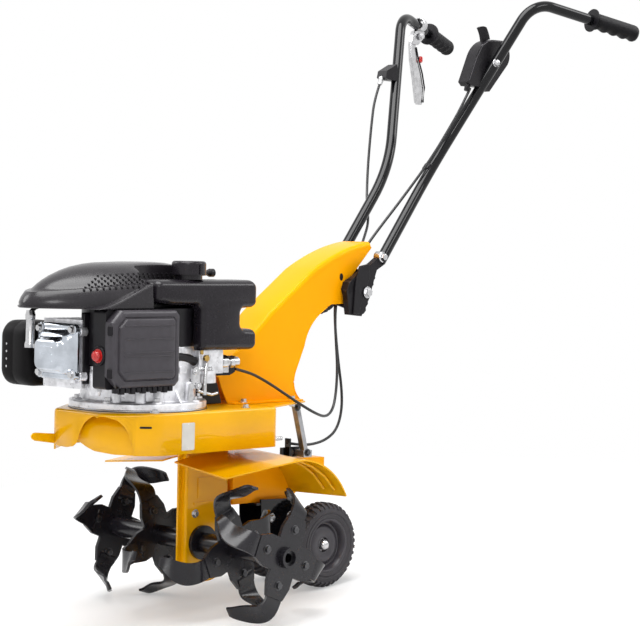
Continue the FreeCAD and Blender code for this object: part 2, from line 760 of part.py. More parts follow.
def rocker_cover():
    """A pressed cover on the head: bolted rim, raised box and pressed ribs."""
    cover = body("rocker_cover")

    def oblong(half, low, high):
        return [(f"-{half}", low), (half, low), (half, high), (f"-{half}", high)]

    pad(cover, "XZ_Plane", oblong("rocker_half", "bore_z-44", "bore_z+44"), "12", "-head_front+0.3",
        name="rim")
    rounded(cover, "12", lambda edge: edge.Length > 11 and edge.Length < 13, "rim_corners")
    pad(cover, "XZ_Plane", oblong("34", "bore_z-33", "bore_z+21"), "rocker_deep-3", "-head_front+1.3",
        name="box")
    rounded(cover, "5", lying("y", "head_front-rocker_deep+1.7"), "box_edges")
    for number in range(3):
        low = f"bore_z-25+{number}*15"
        pad(cover, "XZ_Plane", oblong("24", low, f"{low}+7"), "3", "-head_front+rocker_deep-3",
            name=f"rib_{number}")
    bolts = [rod(f"rocker_bolt_{across}_{up}", "5", "head_front-15", "5", "Y",
                 (f"{across}*(rocker_half-9)", f"bore_z+{up}*35"))
             for across in (1, -1) for up in (1, -1)]
    return fuse("rocker_cover_bolted", cover, *bolts)


def muffler():
    """A rounded pressed box on a short pipe out of the head."""
    box = body("muffler")
    side = [("-300", "bore_z-48"), ("-215", "bore_z-48"), ("-215", "bore_z+58"), ("-300", "bore_z+58")]
    pad(box, "YZ_Plane", side, "75", "-150", name="shell")
    rounded(box, "14", lengthwise, "corners")
    rounded(box, "8", lying("x", "-150"), "face")
    pipe = rod("muffler_pipe", "12", "-76", "76-fin_half-0.2", at=("-252", "bore_z+4"))
    return fuse("muffler_piped", box, pipe)


def blower_shroud():
    """The domed fan cover over the crankshaft, drawn out to a nose over the cylinder.

    Each section is a share of the dome's height and of its three reaches.
    """
    sections = []
    for height, wide, fore, aft in ((0.0, 1.0, 1.0, 1.0), (0.36, 0.96, 0.925, 0.97),
                                    (0.72, 0.8, 0.75, 0.82), (1.0, 0.46, 0.44, 0.48)):
        points = []
        for step in range(24):
            turn = math.radians(step * 15)
            ahead = max(0.0, -math.sin(turn))
            reach = aft * value("dome_aft") if math.sin(turn) > 0 else fore * value("dome_fore")
            points.append(Vector(wide * value("dome_half") * math.cos(turn) * (1 - 0.22 * ahead ** 2),
                                 value("crank_y") + reach * math.sin(turn),
                                 value("dome_low") + height * value("dome_high")))
        curve = Part.BSplineCurve()
        curve.interpolate(points, True)
        sections.append(Part.Wire(curve.toShape()))
    dome = Part.makeLoft(sections, True, False)
    room = Part.makeBox(90, 260, 120, Vector(value("tank_inner") - 0.3, value("tank_nose") - 3,
                                             value("dome_low") - 8))
    return feature("blower_shroud", dome.cut(room))


def filter_base():
    """The backing box of the air filter, with the panel of the primer beside it."""
    low, top = "engine_base+40", "dome_low-0.2"
    box = body("filter_base")
    side = [("filter_front", low), ("filter_rear", low), ("filter_rear", top), ("filter_front", top)]
    pad(box, "YZ_Plane", side, "filter_inner-70", "70", name="box")
    rounded(box, "6", lengthwise, "corners")
    panel = block("filter_panel", ("52", "71"), ("filter_front+6", "filter_rear"), ("engine_base+76", top))
    return cut("filter_base_fitted", fuse("filter_base_body", box, panel), drum_room("filter_room"))


def filter_cover():
    """The clipped cover: rounded, with a raised face and pressed ridges."""
    cover = body("filter_cover")
    front, rear, low, top = "filter_front+9", "filter_rear+13", "engine_base+42", "dome_low-0.2"
    face = "filter_outer-4"

    def oblong(inset, lift="0"):
        return [(f"{front}+{inset}", f"{low}+{inset}+{lift}"), (f"{rear}-{inset}", f"{low}+{inset}+{lift}"),
                (f"{rear}-{inset}", f"{top}-{inset}"), (f"{front}+{inset}", f"{top}-{inset}")]

    pad(cover, "YZ_Plane", oblong("0"), f"{face}-filter_inner-0.1", "filter_inner+0.1", name="rim")
    rounded(cover, "12", lengthwise, "corners")
    rounded(cover, "7", lying("x", face), "shoulder")
    pad(cover, "YZ_Plane", oblong("16"), "3.5", f"{face}-1", name="face")
    for number, up in enumerate((28, 52, 76)):
        ridge = [(f"{front}+22", f"{low}+{up}"), (f"{rear}-22", f"{low}+{up}"),
                 (f"{rear}-22", f"{low}+{up}+5"), (f"{front}+22", f"{low}+{up}+5")]
        pad(cover, "YZ_Plane", ridge, "2.5", f"{face}+1.5", name=f"ridge_{number}")
    return cover


def primer_bulb():
    """A soft dome in a ring on the front of the filter's backing box."""
    section = [("0", "0"), ("0", "11"), ("3", "11"), ("3", "9"), ("5", "9"), ("12", "3", "10", "6.8"),
               ("12", "0")]
    bulb = turned("primer_bulb", section)
    bulb.Placement = Placement(Vector(), Rotation(Vector(0, 0, 1), -90))
    return shift(bulb, "85", "filter_front-0.1", "bore_z")


def fuel_tank():
    """A moulded tank: neck over the drum, notch at the rear, all its corners soft."""
    tank = body("fuel_tank")
    side = [("tank_nose", "tank_high-37"), ("tank_nose+42", "tank_high-41"), ("tank_face", "tank_high-41"),
            ("tank_face", "tank_low"), ("tank_rear", "tank_low"), ("tank_rear", "tank_low+34"),
            ("tank_rear-36", "tank_low+36"), ("tank_rear-36", "tank_low+68"),
            ("tank_rear", "tank_low+70"), ("tank_rear", "tank_high"), ("tank_nose", "tank_high")]
    pad(tank, "YZ_Plane", side, "tank_outer-tank_inner", "tank_inner", name="side")
    rounded(tank, "10", lengthwise, "corners")
    rounded(tank, "6", lying("x", "tank_outer"), "outer_edges")
    return cut("fuel_tank_shaped", tank, drum_room("tank_room", "tank_low-30", "dome_low-tank_low+29.7"))


def fuel_cap():
    """A ribbed screw cap on its neck."""
    low = "tank_high+0.1"
    place = ("cap_x", "cap_y")
    section = [("0", low), ("cap_rad-8", low), ("cap_rad-8", f"{low}+8"), ("cap_rad-2", f"{low}+8"),
               ("cap_rad-2", f"{low}+25"), ("cap_rad-7", f"{low}+30", "cap_rad-3.5", f"{low}+28.5"),
               ("0", f"{low}+30")]
    cap = turned("fuel_cap", section, "Z")
    rib = [("cap_rad-3", f"{low}+9"), ("cap_rad", f"{low}+9"), ("cap_rad", f"{low}+24"),
           ("cap_rad-3", f"{low}+24")]
    ringed(cap, pad(cap, "XZ_Plane", rib, "4", middle=True, name="rib"), "18")
    return shift(cap, *place)


def starter_grip():
    """The pull knob at the back of the dome."""
    section = [("0", "0"), ("0", "5"), ("8", "7", "3", "7"), ("36", "4.5"), ("42", "7"), ("50", "7"),
               ("50", "0")]
    knob = turned("starter_grip", section)
    knob.Placement = Placement(Vector(), Rotation(Vector(0, 0, 1), 90))
    return shift(knob, "22", "crank_y+90.8", "dome_low+57")


def carburettor():
    """The mixing body beside the drum, with its float bowl beneath."""
    box = body("carburettor")
    plan = [("30", "crank_y+51"), ("92", "crank_y+51"), ("92", "crank_y+105"), ("30", "crank_y+105")]
    pad(box, "XY_Plane", plan, "38", "tank_low-38.3", name="throat")
    rounded(box, "4", upright, "corners")
    bowl = rod("carburettor_bowl", "20", "tank_low-54", "17", "Z", ("72", "crank_y+79"))
    return cut("carburettor_fitted", fuse("carburettor_body", box, bowl), drum_room("carburettor_room"))


def cable_bracket():
    """The bent plate behind the carburettor that holds the throttle wire."""
    plate = body("cable_bracket")
    start = "crank_y+105.2"
    side = [(start, "bore_z-40"), (f"{start}+32", "bore_z-40"), (f"{start}+44", "bore_z-35"),
            (f"{start}+44", "bore_z-8"), (start, "bore_z-8")]
    pad(plate, "YZ_Plane", side, "4", "68", name="plate")
    return plate


def governor_lever():
    lever = body("governor_lever")
    start = "crank_y+22"
    foot = "engine_base+flange_high+0.2"
    side = [(start, foot), (f"{start}+12", foot), (f"{start}+9", f"{foot}+26"),
            (f"{start}+3", f"{foot}+26", f"{start}+6", f"{foot}+29.6")]
    pad(lever, "YZ_Plane", side, "4", "engine_flange-17", name="blade")
    return lever


def oil_filler():
    """The filler neck and its cap beside the cylinder."""
    low = "engine_base+28"
    section = [("0", low), ("8", low), ("10", f"{low}+6"), ("10", f"{low}+36"), ("9", f"{low}+36"),
               ("9", f"{low}+46"), ("0", f"{low}+46")]
    return shift(turned("oil_filler", section, "Z"), "fin_half+10.3", "head_front+26")


def clutch_bracket():
    plate = block("clutch_plate", ("10.5", "14.5"), ("184", "228"), ("131", "149"))
    tab = block("clutch_tab", ("10.5", "22"), ("196", "200"), ("131", "165"))
    return cut("clutch_bracket_cut", fuse("clutch_bracket_body", plate, tab),
               rod("clutch_wire_hole", "1.6", "190", "20", "Y", ("16", "156")))


def clutch_arm():
    """The idler lever under the pan that the clutch wire pulls through its spring."""
    pin = rod("arm_pin", "7", "168", "pan_top-sheet-168.1", "Z", ("16", "88"))
    lever = block("arm_lever", ("8", "24"), ("78", "160"), ("164", "168"))
    spring = rod("arm_spring", "3.5", "160", "22", "Y", ("16", "166"))
    return fuse("clutch_arm_body", pin, lever, spring)


THROTTLE_LOWER = [(72, 15, 296), (69, 50, 289), (66, 82, 277), (68, 112, 262), (74, 138, 246),
                  (80, 167, 229), (79, 200, 214), (68, 238, 204), (53, 272, 214), (43, 290, 245),
                  (36, 299, 287), (30, 301, 328), (25, 302, 366), (22, 306, 404), (21, 322, 443),
                  (20, 343, 464), (18, 360, 476.5), (20, 378.8, 498.7)]
THROTTLE_UPPER = [(106, 566, 803), (100, 547, 764), (89, 530, 728), (74, 513, 688), (57, 494, 648),
                  (45, 473, 615), (36, 447, 581), (28, 421, 549), (22, 397, 520), (20, 379, 499)]
CLUTCH_LOWER = [(16, 200.6, 156), (16, 232, 151), (17, 262, 151), (18, 292, 157), (19, 318, 173),
                (18, 332, 206), (15, 334, 246), (11, 328, 292), (8, 323, 340), (7, 319, 382),
                (6, 322, 416), (6, 343, 444), (2.7, 371.6, 464.7), (-7.9, 391.8, 483.8)]
CLUTCH_UPPER = [(-120, 566, 825), (-119, 549, 790), (-112, 535, 745), (-105, 523, 702),
                (-97, 511, 660), (-88, 500, 622), (-74, 485, 588), (-50, 466, 552), (-28, 430, 520),
                (-8, 392, 484)]


def cable(label, points):
    solid, radii = tube_along(points, value("cable_rad"))
    print(label, "radii", [round(r) for r in radii])
    return feature(label, solid)


# ---------------------------------------------------------------- stance
def surface_points(shape):
    """Points all over a shape's surface, close enough to measure its true extent."""
    return shape.tessellate(0.1)[0]


def lowest(points, pitch):
    """Height of the lowest point once the machine is tipped nose up."""
    lean, upright = math.sin(math.radians(pitch)), math.cos(math.radians(pitch))
    return min(point.z * upright - point.y * lean for point in points)


nodes = {}


def add(label, piece):
    piece.Label = label
    nodes[label] = piece


add("deck_pan", deck_pan())
add("chain_case", chain_case())
add("shaft_bearings", bearings())
add("rear_channel", rear_channel())
add("guard_left", guard_sheet("guard_left_body", 1))
add("guard_right", guard_sheet("guard_right_body", -1))
add("column", column())
add("tilt_plates", tilt_plates())
add("stay", stay())
add("wheel_carrier", wheel_carrier())
add("wheel_axle", wheel_axle())
add("clutch_bracket", clutch_bracket())
add("clutch_arm", clutch_arm())
for label, make in (("crankcase", crankcase), ("cylinder", cylinder), ("rocker_cover", rocker_cover),
                    ("muffler", muffler), ("blower_shroud", blower_shroud), ("filter_base", filter_base),
                    ("filter_cover", filter_cover), ("primer_bulb", primer_bulb), ("fuel_tank", fuel_tank),
                    ("fuel_cap", fuel_cap), ("starter_grip", starter_grip), ("carburettor", carburettor),
                    ("cable_bracket", cable_bracket), ("governor_lever", governor_lever),
                    ("oil_filler", oil_filler)):
    add(label, make())
add("spark_plug", rod("plug_boot", "plug_rad", "bore_z+6", "60", "Z",
                      ("-rocker_half-plug_rad-0.2", "head_front-13")))
add("throttle_cable_lower", cable("throttle_low_run", THROTTLE_LOWER))
add("clutch_cable_lower", cable("clutch_low_run", CLUTCH_LOWER))

add("tine_shaft", tine_shaft())
ALL_IN, IN_TURN = (1, 1, 1, 1), (-1, 1, -1, 1)
OUTER_HUB = ("hub_joint+0.3", "tine_span+plate_thick/2+hub_proud")
INNER_HUB = ("hub_start", "hub_joint-0.3")
add("tines_outer_left", tine_set("outer_left", 1, "tine_span", 0, OUTER_HUB, ALL_IN))
add("tines_inner_left", tine_set("inner_left", 1, "inner_span", 45, INNER_HUB, IN_TURN))
add("tines_inner_right", tine_set("inner_right", -1, "inner_span", 45, INNER_HUB, IN_TURN))
add("tines_outer_right", tine_set("outer_right", -1, "tine_span", 0, OUTER_HUB, ALL_IN))

for name, side in (("left", 1), ("right", -1)):
    add(f"tyre_{name}", tyre(f"tyre_{name}_body", side))
    add(f"rim_{name}", rim(f"rim_{name}_body", side))
    add(f"handle_tube_{name}", handle_tube(f"tube_{name}", side))
    add(f"grip_{name}", grip(f"grip_{name}_body", side))
    add(f"handle_cheek_{name}", handle_cheek(f"cheek_{name}", side))

add("tilt_pin", tilt_pin())
doc.recompute()


def ferrule(run):
    """A metal end that takes a wire's outer where its run starts."""
    start, after = Vector(*run[0]), Vector(*run[1])
    axis = (start - after).normalize()
    return Part.makeCylinder(value("cable_rad") + 1.5, 13, start + axis * 0.3, axis)


def off_tube(label, piece, tube, *extras):
    """A piece cut to sit on a handle tube without sinking into it."""
    shape = piece.Shape
    for extra in extras:
        shape = shape.fuse(extra)
    return feature(label, shape.cut(tube.Shape.makeOffsetShape(0.1, 0.01)))


def side_piece(label, outline, start, thick):
    """A plate in the side plane, placed by steps from a point on the handlebar."""
    piece = body(label)
    pad(piece, "YZ_Plane", outline, thick, start, name="plate")
    return piece


def throttle_body():
    """The flat teardrop case of the throttle lever, inside the left tube."""
    y, z = "throttle_y", "throttle_z"
    outline = [(f"{y}-60", f"{z}-36"), (f"{y}-38", f"{z}+12"),
               (f"{y}+9", f"{z}+47", f"{y}-19", f"{z}+36"), (f"{y}+39", f"{z}+48"),
               (f"{y}+54", f"{z}+3", f"{y}+60", f"{z}+27"), (f"{y}+3", f"{z}-50"),
               (f"{y}-6", f"{z}-43"), (f"{y}-52", f"{z}-43")]
    return side_piece("throttle_body", outline, "bar_half+35", "24")


def throttle_arm():
    y, z = "throttle_y", "throttle_z"
    outline = [(f"{y}-10", f"{z}+42.6"), (f"{y}-21", f"{z}+67", f"{y}-14", f"{z}+56"),
               (f"{y}+1", f"{z}+70", f"{y}-10", f"{z}+71"), (f"{y}+12", f"{z}+48.6", f"{y}+8", f"{z}+59")]
    return side_piece("throttle_arm", outline, "bar_half+44", "6")


def clutch_blade():
    """The hand lever: slim at its perch, broad and bowed towards its end."""
    y, z = "perch_y", "perch_z"
    outline = [(f"{y}-2", f"{z}-0.2"), (f"{y}+5", f"{z}-74", f"{y}-4", f"{z}-36"), (f"{y}+16", f"{z}-121"),
               (f"{y}+33", f"{z}-121", f"{y}+25", f"{z}-126"), (f"{y}+25", f"{z}-58", f"{y}+35", f"{z}-90"),
               (f"{y}+13", f"{z}-0.2", f"{y}+12", f"{z}-30")]
    return side_piece("clutch_blade", outline, "-196", "10")


def perch_box():
    y, z = "perch_y", "perch_z"
    outline = [(f"{y}-4", z), (f"{y}+30", z), (f"{y}+40", f"{z}+14"), (f"{y}+40", f"{z}+37"), (y, f"{z}+37"),
               (f"{y}-4", f"{z}+24")]
    return side_piece("perch_box", outline, "-201", "20")


def stop_box():
    """The clamp on the right tube where the clutch wire's outer ends."""
    outline = [("566", "833"), ("569", "846"), ("598", "861"), ("605", "829"), ("574", "829")]
    return side_piece("stop_box", outline, "-130", "24")


throttle_case, lever_bar = throttle_body(), throttle_arm()
perch, clutch_lever, stop = perch_box(), clutch_blade(), stop_box()
doc.recompute()
left_tube, right_tube = nodes["handle_tube_left"], nodes["handle_tube_right"]
add("throttle_housing", off_tube("throttle_fitted", throttle_case, left_tube))
add("throttle_lever", lever_bar)
add("clutch_perch", off_tube("perch_fitted", perch, right_tube))
add("clutch_lever", clutch_lever)
add("cable_stop", off_tube("stop_fitted", stop, right_tube, ferrule(CLUTCH_UPPER)))
add("throttle_cable_upper", cable("throttle_up_run", THROTTLE_UPPER))
add("clutch_cable_upper", cable("clutch_up_run", CLUTCH_UPPER))
doc.recompute()

surfaces = {label: surface_points(piece.Shape) for label, piece in nodes.items()}
rotor = [point for label in nodes if label.startswith("tine") for point in surfaces[label]]
wheel_floor = Vector(0, value("wheel_back"), -value("wheel_low"))


def wheel_lowest(pitch):
    return lowest([wheel_floor], pitch) - value("wheel_rad")


nose_down, nose_up = -6.0, 12.0
for halving in range(40):
    pitch = (nose_down + nose_up) / 2
    if lowest(rotor, pitch) > wheel_lowest(pitch):
        nose_up = pitch
    else:
        nose_down = pitch
print("pitch", round(pitch, 3), "floor", round(wheel_lowest(pitch), 2))

tip = Placement(Vector(), Rotation(Vector(1, 0, 0), -pitch))
box = FreeCAD.BoundBox()
for points in surfaces.values():
    for point in points:
        box.add(tip.multVec(point))
centre = Vector((box.XMin + box.XMax) / 2, (box.YMin + box.YMax) / 2, wheel_lowest(pitch))
stance = Placement(-centre, Rotation()) * tip


def stood(point):
    return [round(c / 1000, 6) for c in stance.multVec(Vector(*point))]


print("size", [round(x, 1) for x in (box.XLength, box.YLength, box.ZLength)])
print("origin", stood((0, 0, 0)), "wheel", stood((0, value("wheel_back"), -value("wheel_low"))),
      "pivot", stood((0, value("pivot_y"), value("pivot_z"))))

bad = [item.Name for item in doc.Objects if {"Invalid", "Error"} & set(item.State)]
assert not bad, f"failed: {bad}"
os.makedirs("parts", exist_ok=True)
for label, piece in nodes.items():
    shape = piece.Shape.copy()
    shape.Placement = stance * shape.Placement
    assert not shape.isNull() and shape.isValid(), f"{label} is not a valid shape"
    shape.exportStep(f"parts/{label}.step")
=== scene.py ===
"""Looks for the rotary tiller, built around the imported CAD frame."""
import json
import math

import bmesh
import bpy
from mathutils import Matrix, Vector
from mathutils.bvhtree import BVHTree


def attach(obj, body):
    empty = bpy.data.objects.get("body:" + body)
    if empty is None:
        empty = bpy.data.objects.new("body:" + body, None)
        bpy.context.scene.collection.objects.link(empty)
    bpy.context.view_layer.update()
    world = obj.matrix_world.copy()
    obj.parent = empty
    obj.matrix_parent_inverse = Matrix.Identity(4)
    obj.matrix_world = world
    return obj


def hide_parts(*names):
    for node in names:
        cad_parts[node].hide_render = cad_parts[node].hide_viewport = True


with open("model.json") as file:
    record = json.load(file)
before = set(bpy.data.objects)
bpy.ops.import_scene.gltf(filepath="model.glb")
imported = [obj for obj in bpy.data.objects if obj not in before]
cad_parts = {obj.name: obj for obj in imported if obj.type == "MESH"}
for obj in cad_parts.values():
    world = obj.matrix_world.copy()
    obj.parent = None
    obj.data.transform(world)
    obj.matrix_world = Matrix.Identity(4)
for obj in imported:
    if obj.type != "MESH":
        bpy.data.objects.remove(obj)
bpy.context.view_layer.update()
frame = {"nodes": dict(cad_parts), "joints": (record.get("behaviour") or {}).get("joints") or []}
nodes = frame["nodes"]

# ---- stance
# The pieces are drawn in the machine's own frame, in mm: origin on the tine shaft,
# X to its left, Y to its rear, Z up, with the belt pan level.
LEFT, AHEAD, REAR, UP, DOWN = (1, 0, 0), (0, -1, 0), (0, 1, 0), (0, 0, 1), (0, 0, -1)
WHEEL_BACK, WHEEL_LOW, WHEEL_TRACK = 241, 21, 61
joints = {joint["name"]: Vector(joint["pos_m"]) for joint in frame["joints"]}
shaft, wheel = joints["tine_spin"], joints["wheel_left_spin"]
PITCH = (math.atan2(-WHEEL_LOW, WHEEL_BACK)
         - math.atan2(wheel.z - shaft.z, wheel.y - shaft.y))
LEVEL = Matrix.Translation(shaft) @ Matrix.Rotation(-PITCH, 4, "X")
STANCE = LEVEL @ Matrix.Scale(0.001, 4)


def stand(name, data):
    """Puts a new object that holds the data into the scene."""
    thing = bpy.data.objects.new(name, data)
    bpy.context.scene.collection.objects.link(thing)
    return thing


# ---- camera
# the photograph's viewpoint: degrees round, above and leaning, and metres from the tine shaft
VIEW_ROUND, VIEW_ABOVE, VIEW_LEAN = 44.23, 3.23, 1.79
VIEW_BACK, VIEW_RIGHT, VIEW_UP = 3.2014, 0.2095, 0.3864
LENS, SENSOR, FAR_CLIP = 106.36, 36, 60


def aim_camera():
    """Stands the camera round the machine's left front."""
    around, above = math.radians(VIEW_ROUND), math.radians(VIEW_ABOVE)
    back = Vector((math.sin(around) * math.cos(above),
                   -math.cos(around) * math.cos(above), math.sin(above)))
    right = Vector((math.cos(around), math.sin(around), 0))
    up = back.cross(right)
    centre = back * VIEW_BACK + right * VIEW_RIGHT + up * VIEW_UP
    lean = Matrix.Rotation(math.radians(VIEW_LEAN), 4, "X")
    camera = stand("camera", bpy.data.cameras.new("camera"))
    camera.matrix_world = (LEVEL @ lean @ Matrix.Translation(centre)
                           @ Matrix((right, up, back)).transposed().to_4x4())
    camera.data.lens, camera.data.sensor_width, camera.data.clip_end = LENS, SENSOR, FAR_CLIP
    bpy.context.scene.camera = camera


aim_camera()


# ---- materials
ROUGH_SWING = 0.08
YELLOW_SHEEN = (1.0, 0.55, 0.05)


def add_node(tree, kind, feeds=None, operation=None, **values):
    """Adds a shader node. Feeds link outputs into its sockets, and values set the others."""
    made = tree.nodes.new(f"ShaderNode{kind}")
    if operation:
        made.operation = operation
    for socket, value in values.items():
        made.inputs[socket.replace("_", " ")].default_value = value
    for socket, output in (feeds or {}).items():
        tree.links.new(output, made.inputs[socket])
    return made


def rubbed(tree, tint, place, wear, grain):
    """The tint with the wear's colour in small scattered rubs, where a noise peaks."""
    spots = add_node(tree, "TexNoise", {"Vector": place},
                     Scale=grain * 2.3, Detail=9, Roughness=0.7)
    peak = add_node(tree, "MapRange", {"Value": spots.outputs["Fac"]},
                    From_Min=0.6, From_Max=0.72)
    rub = add_node(tree, "Mix")
    rub.data_type = "RGBA"
    rub.inputs["B"].default_value = (*wear, 1)
    tree.links.new(peak.outputs["Result"], rub.inputs["Factor"])
    tree.links.new(tint, rub.inputs["A"])
    return rub.outputs["Result"]


def material(name, color, rough, bump, metal=0, shade=0.8, grain=90, bump_scale=900,
             depth=0.4, coat=0, coat_rough=0.05, specular=0.5, wear=None, sheen=None):
    """A finish with a colour and roughness that drift.

    The colour drifts down to its shade with a soft noise, and a finer noise is the bump,
    whose depth is in mm. Sheen, a colour, tints what the surface reflects.
    """
    made = bpy.data.materials.new(name)
    made.use_nodes = True
    tree = made.node_tree
    shader = tree.nodes["Principled BSDF"]
    for socket, value in (("Metallic", metal), ("Specular IOR Level", specular),
                          ("Coat Weight", coat), ("Coat Roughness", coat_rough)):
        shader.inputs[socket].default_value = value
    if sheen:
        shader.inputs["Specular Tint"].default_value = (*sheen, 1)
    place = add_node(tree, "TexCoord").outputs["Object"]
    drift = add_node(tree, "TexNoise", {"Vector": place}, Scale=grain, Detail=6).outputs["Fac"]
    ramp = add_node(tree, "ValToRGB", {"Fac": drift})
    dark, full = ramp.color_ramp.elements
    dark.color, full.color = (*(c * shade for c in color), 1), (*color, 1)
    dark.position, full.position = 0.3, 0.62
    tint = ramp.outputs["Color"]
    if wear:
        tint = rubbed(tree, tint, place, wear, grain)
    spread = add_node(tree, "MapRange", {"Value": drift},
                      To_Min=rough - ROUGH_SWING, To_Max=rough + ROUGH_SWING)
    # a shallow bump is a grain, and a deep one the slow waves of a moulding
    fine = add_node(tree, "TexNoise", {"Vector": place},
                    Scale=bump_scale, Detail=3 if depth < 1 else 0)
    relief = add_node(tree, "Bump", {"Height": fine.outputs["Fac"]},
                      Strength=bump, Distance=depth / 1000)
    tree.links.new(tint, shader.inputs["Base Color"])
    tree.links.new(spread.outputs["Result"], shader.inputs["Roughness"])
    tree.links.new(relief.outputs["Normal"], shader.inputs["Normal"])
    return made


YELLOW = material("yellow_powder_coat", (0.9, 0.36, 0.0002), 0.36, 0.1,
                  shade=0.95, grain=14, bump_scale=420, coat=0.04, specular=0.2,
                  sheen=YELLOW_SHEEN)
# a darker, greener copy of the yellow paint with a gloss coat: painted shade on the pan and its
# pieces, the guards and their ribs, and the chain case
SHADED_YELLOW = material("yellow_gloss_coat_painted_shade", (0.78, 0.385, 0.0002), 0.3, 0.06,
                shade=0.86, grain=9, bump_scale=420, coat=0.45, coat_rough=0.04, specular=0.2,
                sheen=YELLOW_SHEEN)
TUBE = material("black_gloss_paint", (0.004, 0.004, 0.005), 0.1, 0.04,
                bump_scale=700, coat=0.3, coat_rough=0.03, specular=0.15)
BLACK = material("black_moulded_plastic", (0.008, 0.007, 0.009), 0.36, 0.22,
                 bump_scale=2600, specular=0.22)
MUFFLER = material("muffler_black", (0.004, 0.0035, 0.004), 0.5, 0.3,
                   bump_scale=1600, specular=0.1)
SATIN = material("black_satin_plastic", (0.042, 0.038, 0.045), 0.32, 0.14,
                 shade=0.85, bump_scale=2200, specular=0.35)
TANK = material("black_tank_plastic", (0.01, 0.008, 0.011), 0.26, 0.5,
                shade=0.85, bump_scale=22, depth=3, specular=0.3)
DOME = material("black_gloss_cover", (0.016, 0.014, 0.017), 0.26, 0.3,
                shade=0.9, bump_scale=26, depth=1.5, coat=0.12, coat_rough=0.16, specular=0.3)
TINE = material("tine_black_enamel", (0.009, 0.008, 0.011), 0.26, 0.2,
                shade=0.7, grain=40, bump_scale=400, coat=0.08, coat_rough=0.12,
                specular=0.35, wear=(0.018, 0.016, 0.02))
RUBBER = material("tyre_black", (0.04, 0.037, 0.042), 0.6, 0.3,
                  bump_scale=1800, specular=0.3)
GRIP = material("grip_rubber", (0.003, 0.0025, 0.004), 0.42, 0.25,
                bump_scale=2500, specular=0.2)
ALLOY = material("cast_alloy", (0.88, 0.88, 0.91), 0.36, 0.6, metal=0.8,
                 shade=0.6, grain=60, bump_scale=1300, wear=(0.16, 0.16, 0.17))
CHROME = material("polished_cover", (0.6, 0.64, 0.7), 0.17, 0.12, metal=1,
                  shade=0.7, grain=30, bump_scale=400)
ZINC = material("zinc_plate", (0.62, 0.62, 0.63), 0.24, 0.15, metal=1, shade=0.75,
                grain=120)
STEEL = material("dark_steel", (0.1, 0.1, 0.105), 0.34, 0.2, metal=1,
                 shade=0.7, grain=160)
GREY = material("grey_strap", (0.42, 0.43, 0.45), 0.35, 0.15, metal=0.9, shade=0.7,
                grain=80)
JACKET = material("cable_jacket", (0.008, 0.008, 0.009), 0.35, 0.08,
                  bump_scale=1200)
RED = material("primer_red", (0.46, 0.01, 0.008), 0.3, 0.05, shade=0.85,
               coat=0.4)
BRASS = material("brass", (0.52, 0.34, 0.1), 0.32, 0.15, metal=1)
PLATE = material("blank_data_plate", (0.62, 0.6, 0.56), 0.35, 0.1, metal=0.6,
                 shade=0.9, grain=50)

# CAD nodes that keep their own shape: their finish, and the soft edge in mm
FINISHES = {
    (YELLOW, 0.9): "rear_channel",
    (SHADED_YELLOW, 0.5): "guard_left guard_right",
    (SHADED_YELLOW, 3): "chain_case",
    (TUBE, 0.8): "wheel_carrier clutch_bracket cable_bracket",
    (TUBE, 0): "handle_tube_left handle_tube_right",
    (TINE, 0.7): "tines_outer_left tines_inner_left tines_inner_right tines_outer_right",
    (TINE, 1): "shaft_bearings",
    (BLACK, 1.2): "handle_cheek_left handle_cheek_right throttle_housing throttle_lever "
                  "cable_stop tilt_plates filter_base",
    (BLACK, 0.8): "starter_grip",
    (TANK, 0.8): "fuel_cap",
    (SATIN, 0.9): "rim_left rim_right",
    (ALLOY, 0.8): "crankcase cylinder carburettor oil_filler",
    (ZINC, 1): "governor_lever tilt_pin clutch_arm",
    (STEEL, 0.6): "tine_shaft wheel_axle",
    (RED, 0): "primer_bulb",
}
BROAD_EDGE, SHARP_CORNER = 3, 35


def soften(thing, edge):
    """Rounds the sharp edges by so many mm, so that they catch the light."""
    if edge:
        bevel = thing.modifiers.new("soft_edges", "BEVEL")
        bevel.width, bevel.segments = edge / 1000, 2 if edge < BROAD_EDGE else 4
        bevel.limit_method, bevel.angle_limit = "ANGLE", math.radians(SHARP_CORNER)


def dress_nodes():
    """Gives the CAD nodes that stay their finishes and soft edges."""
    for (finish, edge), names in FINISHES.items():
        for name in names.split():
            nodes[name].data.materials.clear()
            nodes[name].data.materials.append(finish)
            soften(nodes[name], edge)


dress_nodes()


# ---- control cables
# Each wire's outer follows its route in part.py; the lower runs stay with the chassis and
# the upper ones tilt with the handlebar.
CABLE_THICK = 0.005
THROTTLE_LOWER = [(72, 15, 296), (69, 50, 289), (66, 82, 277), (68, 112, 262), (74, 138, 246),
                  (80, 167, 229), (79, 200, 214), (68, 238, 204), (53, 272, 214), (43, 290, 245),
                  (36, 299, 287), (30, 301, 328), (25, 302, 366), (22, 306, 404), (21, 322, 443),
                  (20, 343, 464), (18, 360, 476.5), (20, 378.8, 498.7)]
THROTTLE_UPPER = [(106, 566, 803), (100, 547, 764), (89, 530, 728), (74, 513, 688),
                  (57, 494, 648), (45, 473, 615), (36, 447, 581), (28, 421, 549),
                  (22, 397, 520), (20, 379, 499)]
CLUTCH_LOWER = [(16, 200.6, 156), (16, 232, 151), (17, 262, 151), (18, 292, 157), (19, 318, 173),
                (18, 332, 206), (15, 334, 246), (11, 328, 292), (8, 323, 340), (7, 319, 382),
                (6, 322, 416), (6, 343, 444), (2.7, 371.6, 464.7), (-7.9, 391.8, 483.8)]
CLUTCH_UPPER = [(-120, 566, 825), (-119, 549, 790), (-112, 535, 745), (-105, 523, 702),
                (-97, 511, 660), (-88, 500, 622), (-74, 485, 588), (-50, 466, 552),
                (-28, 430, 520), (-8, 392, 484)]


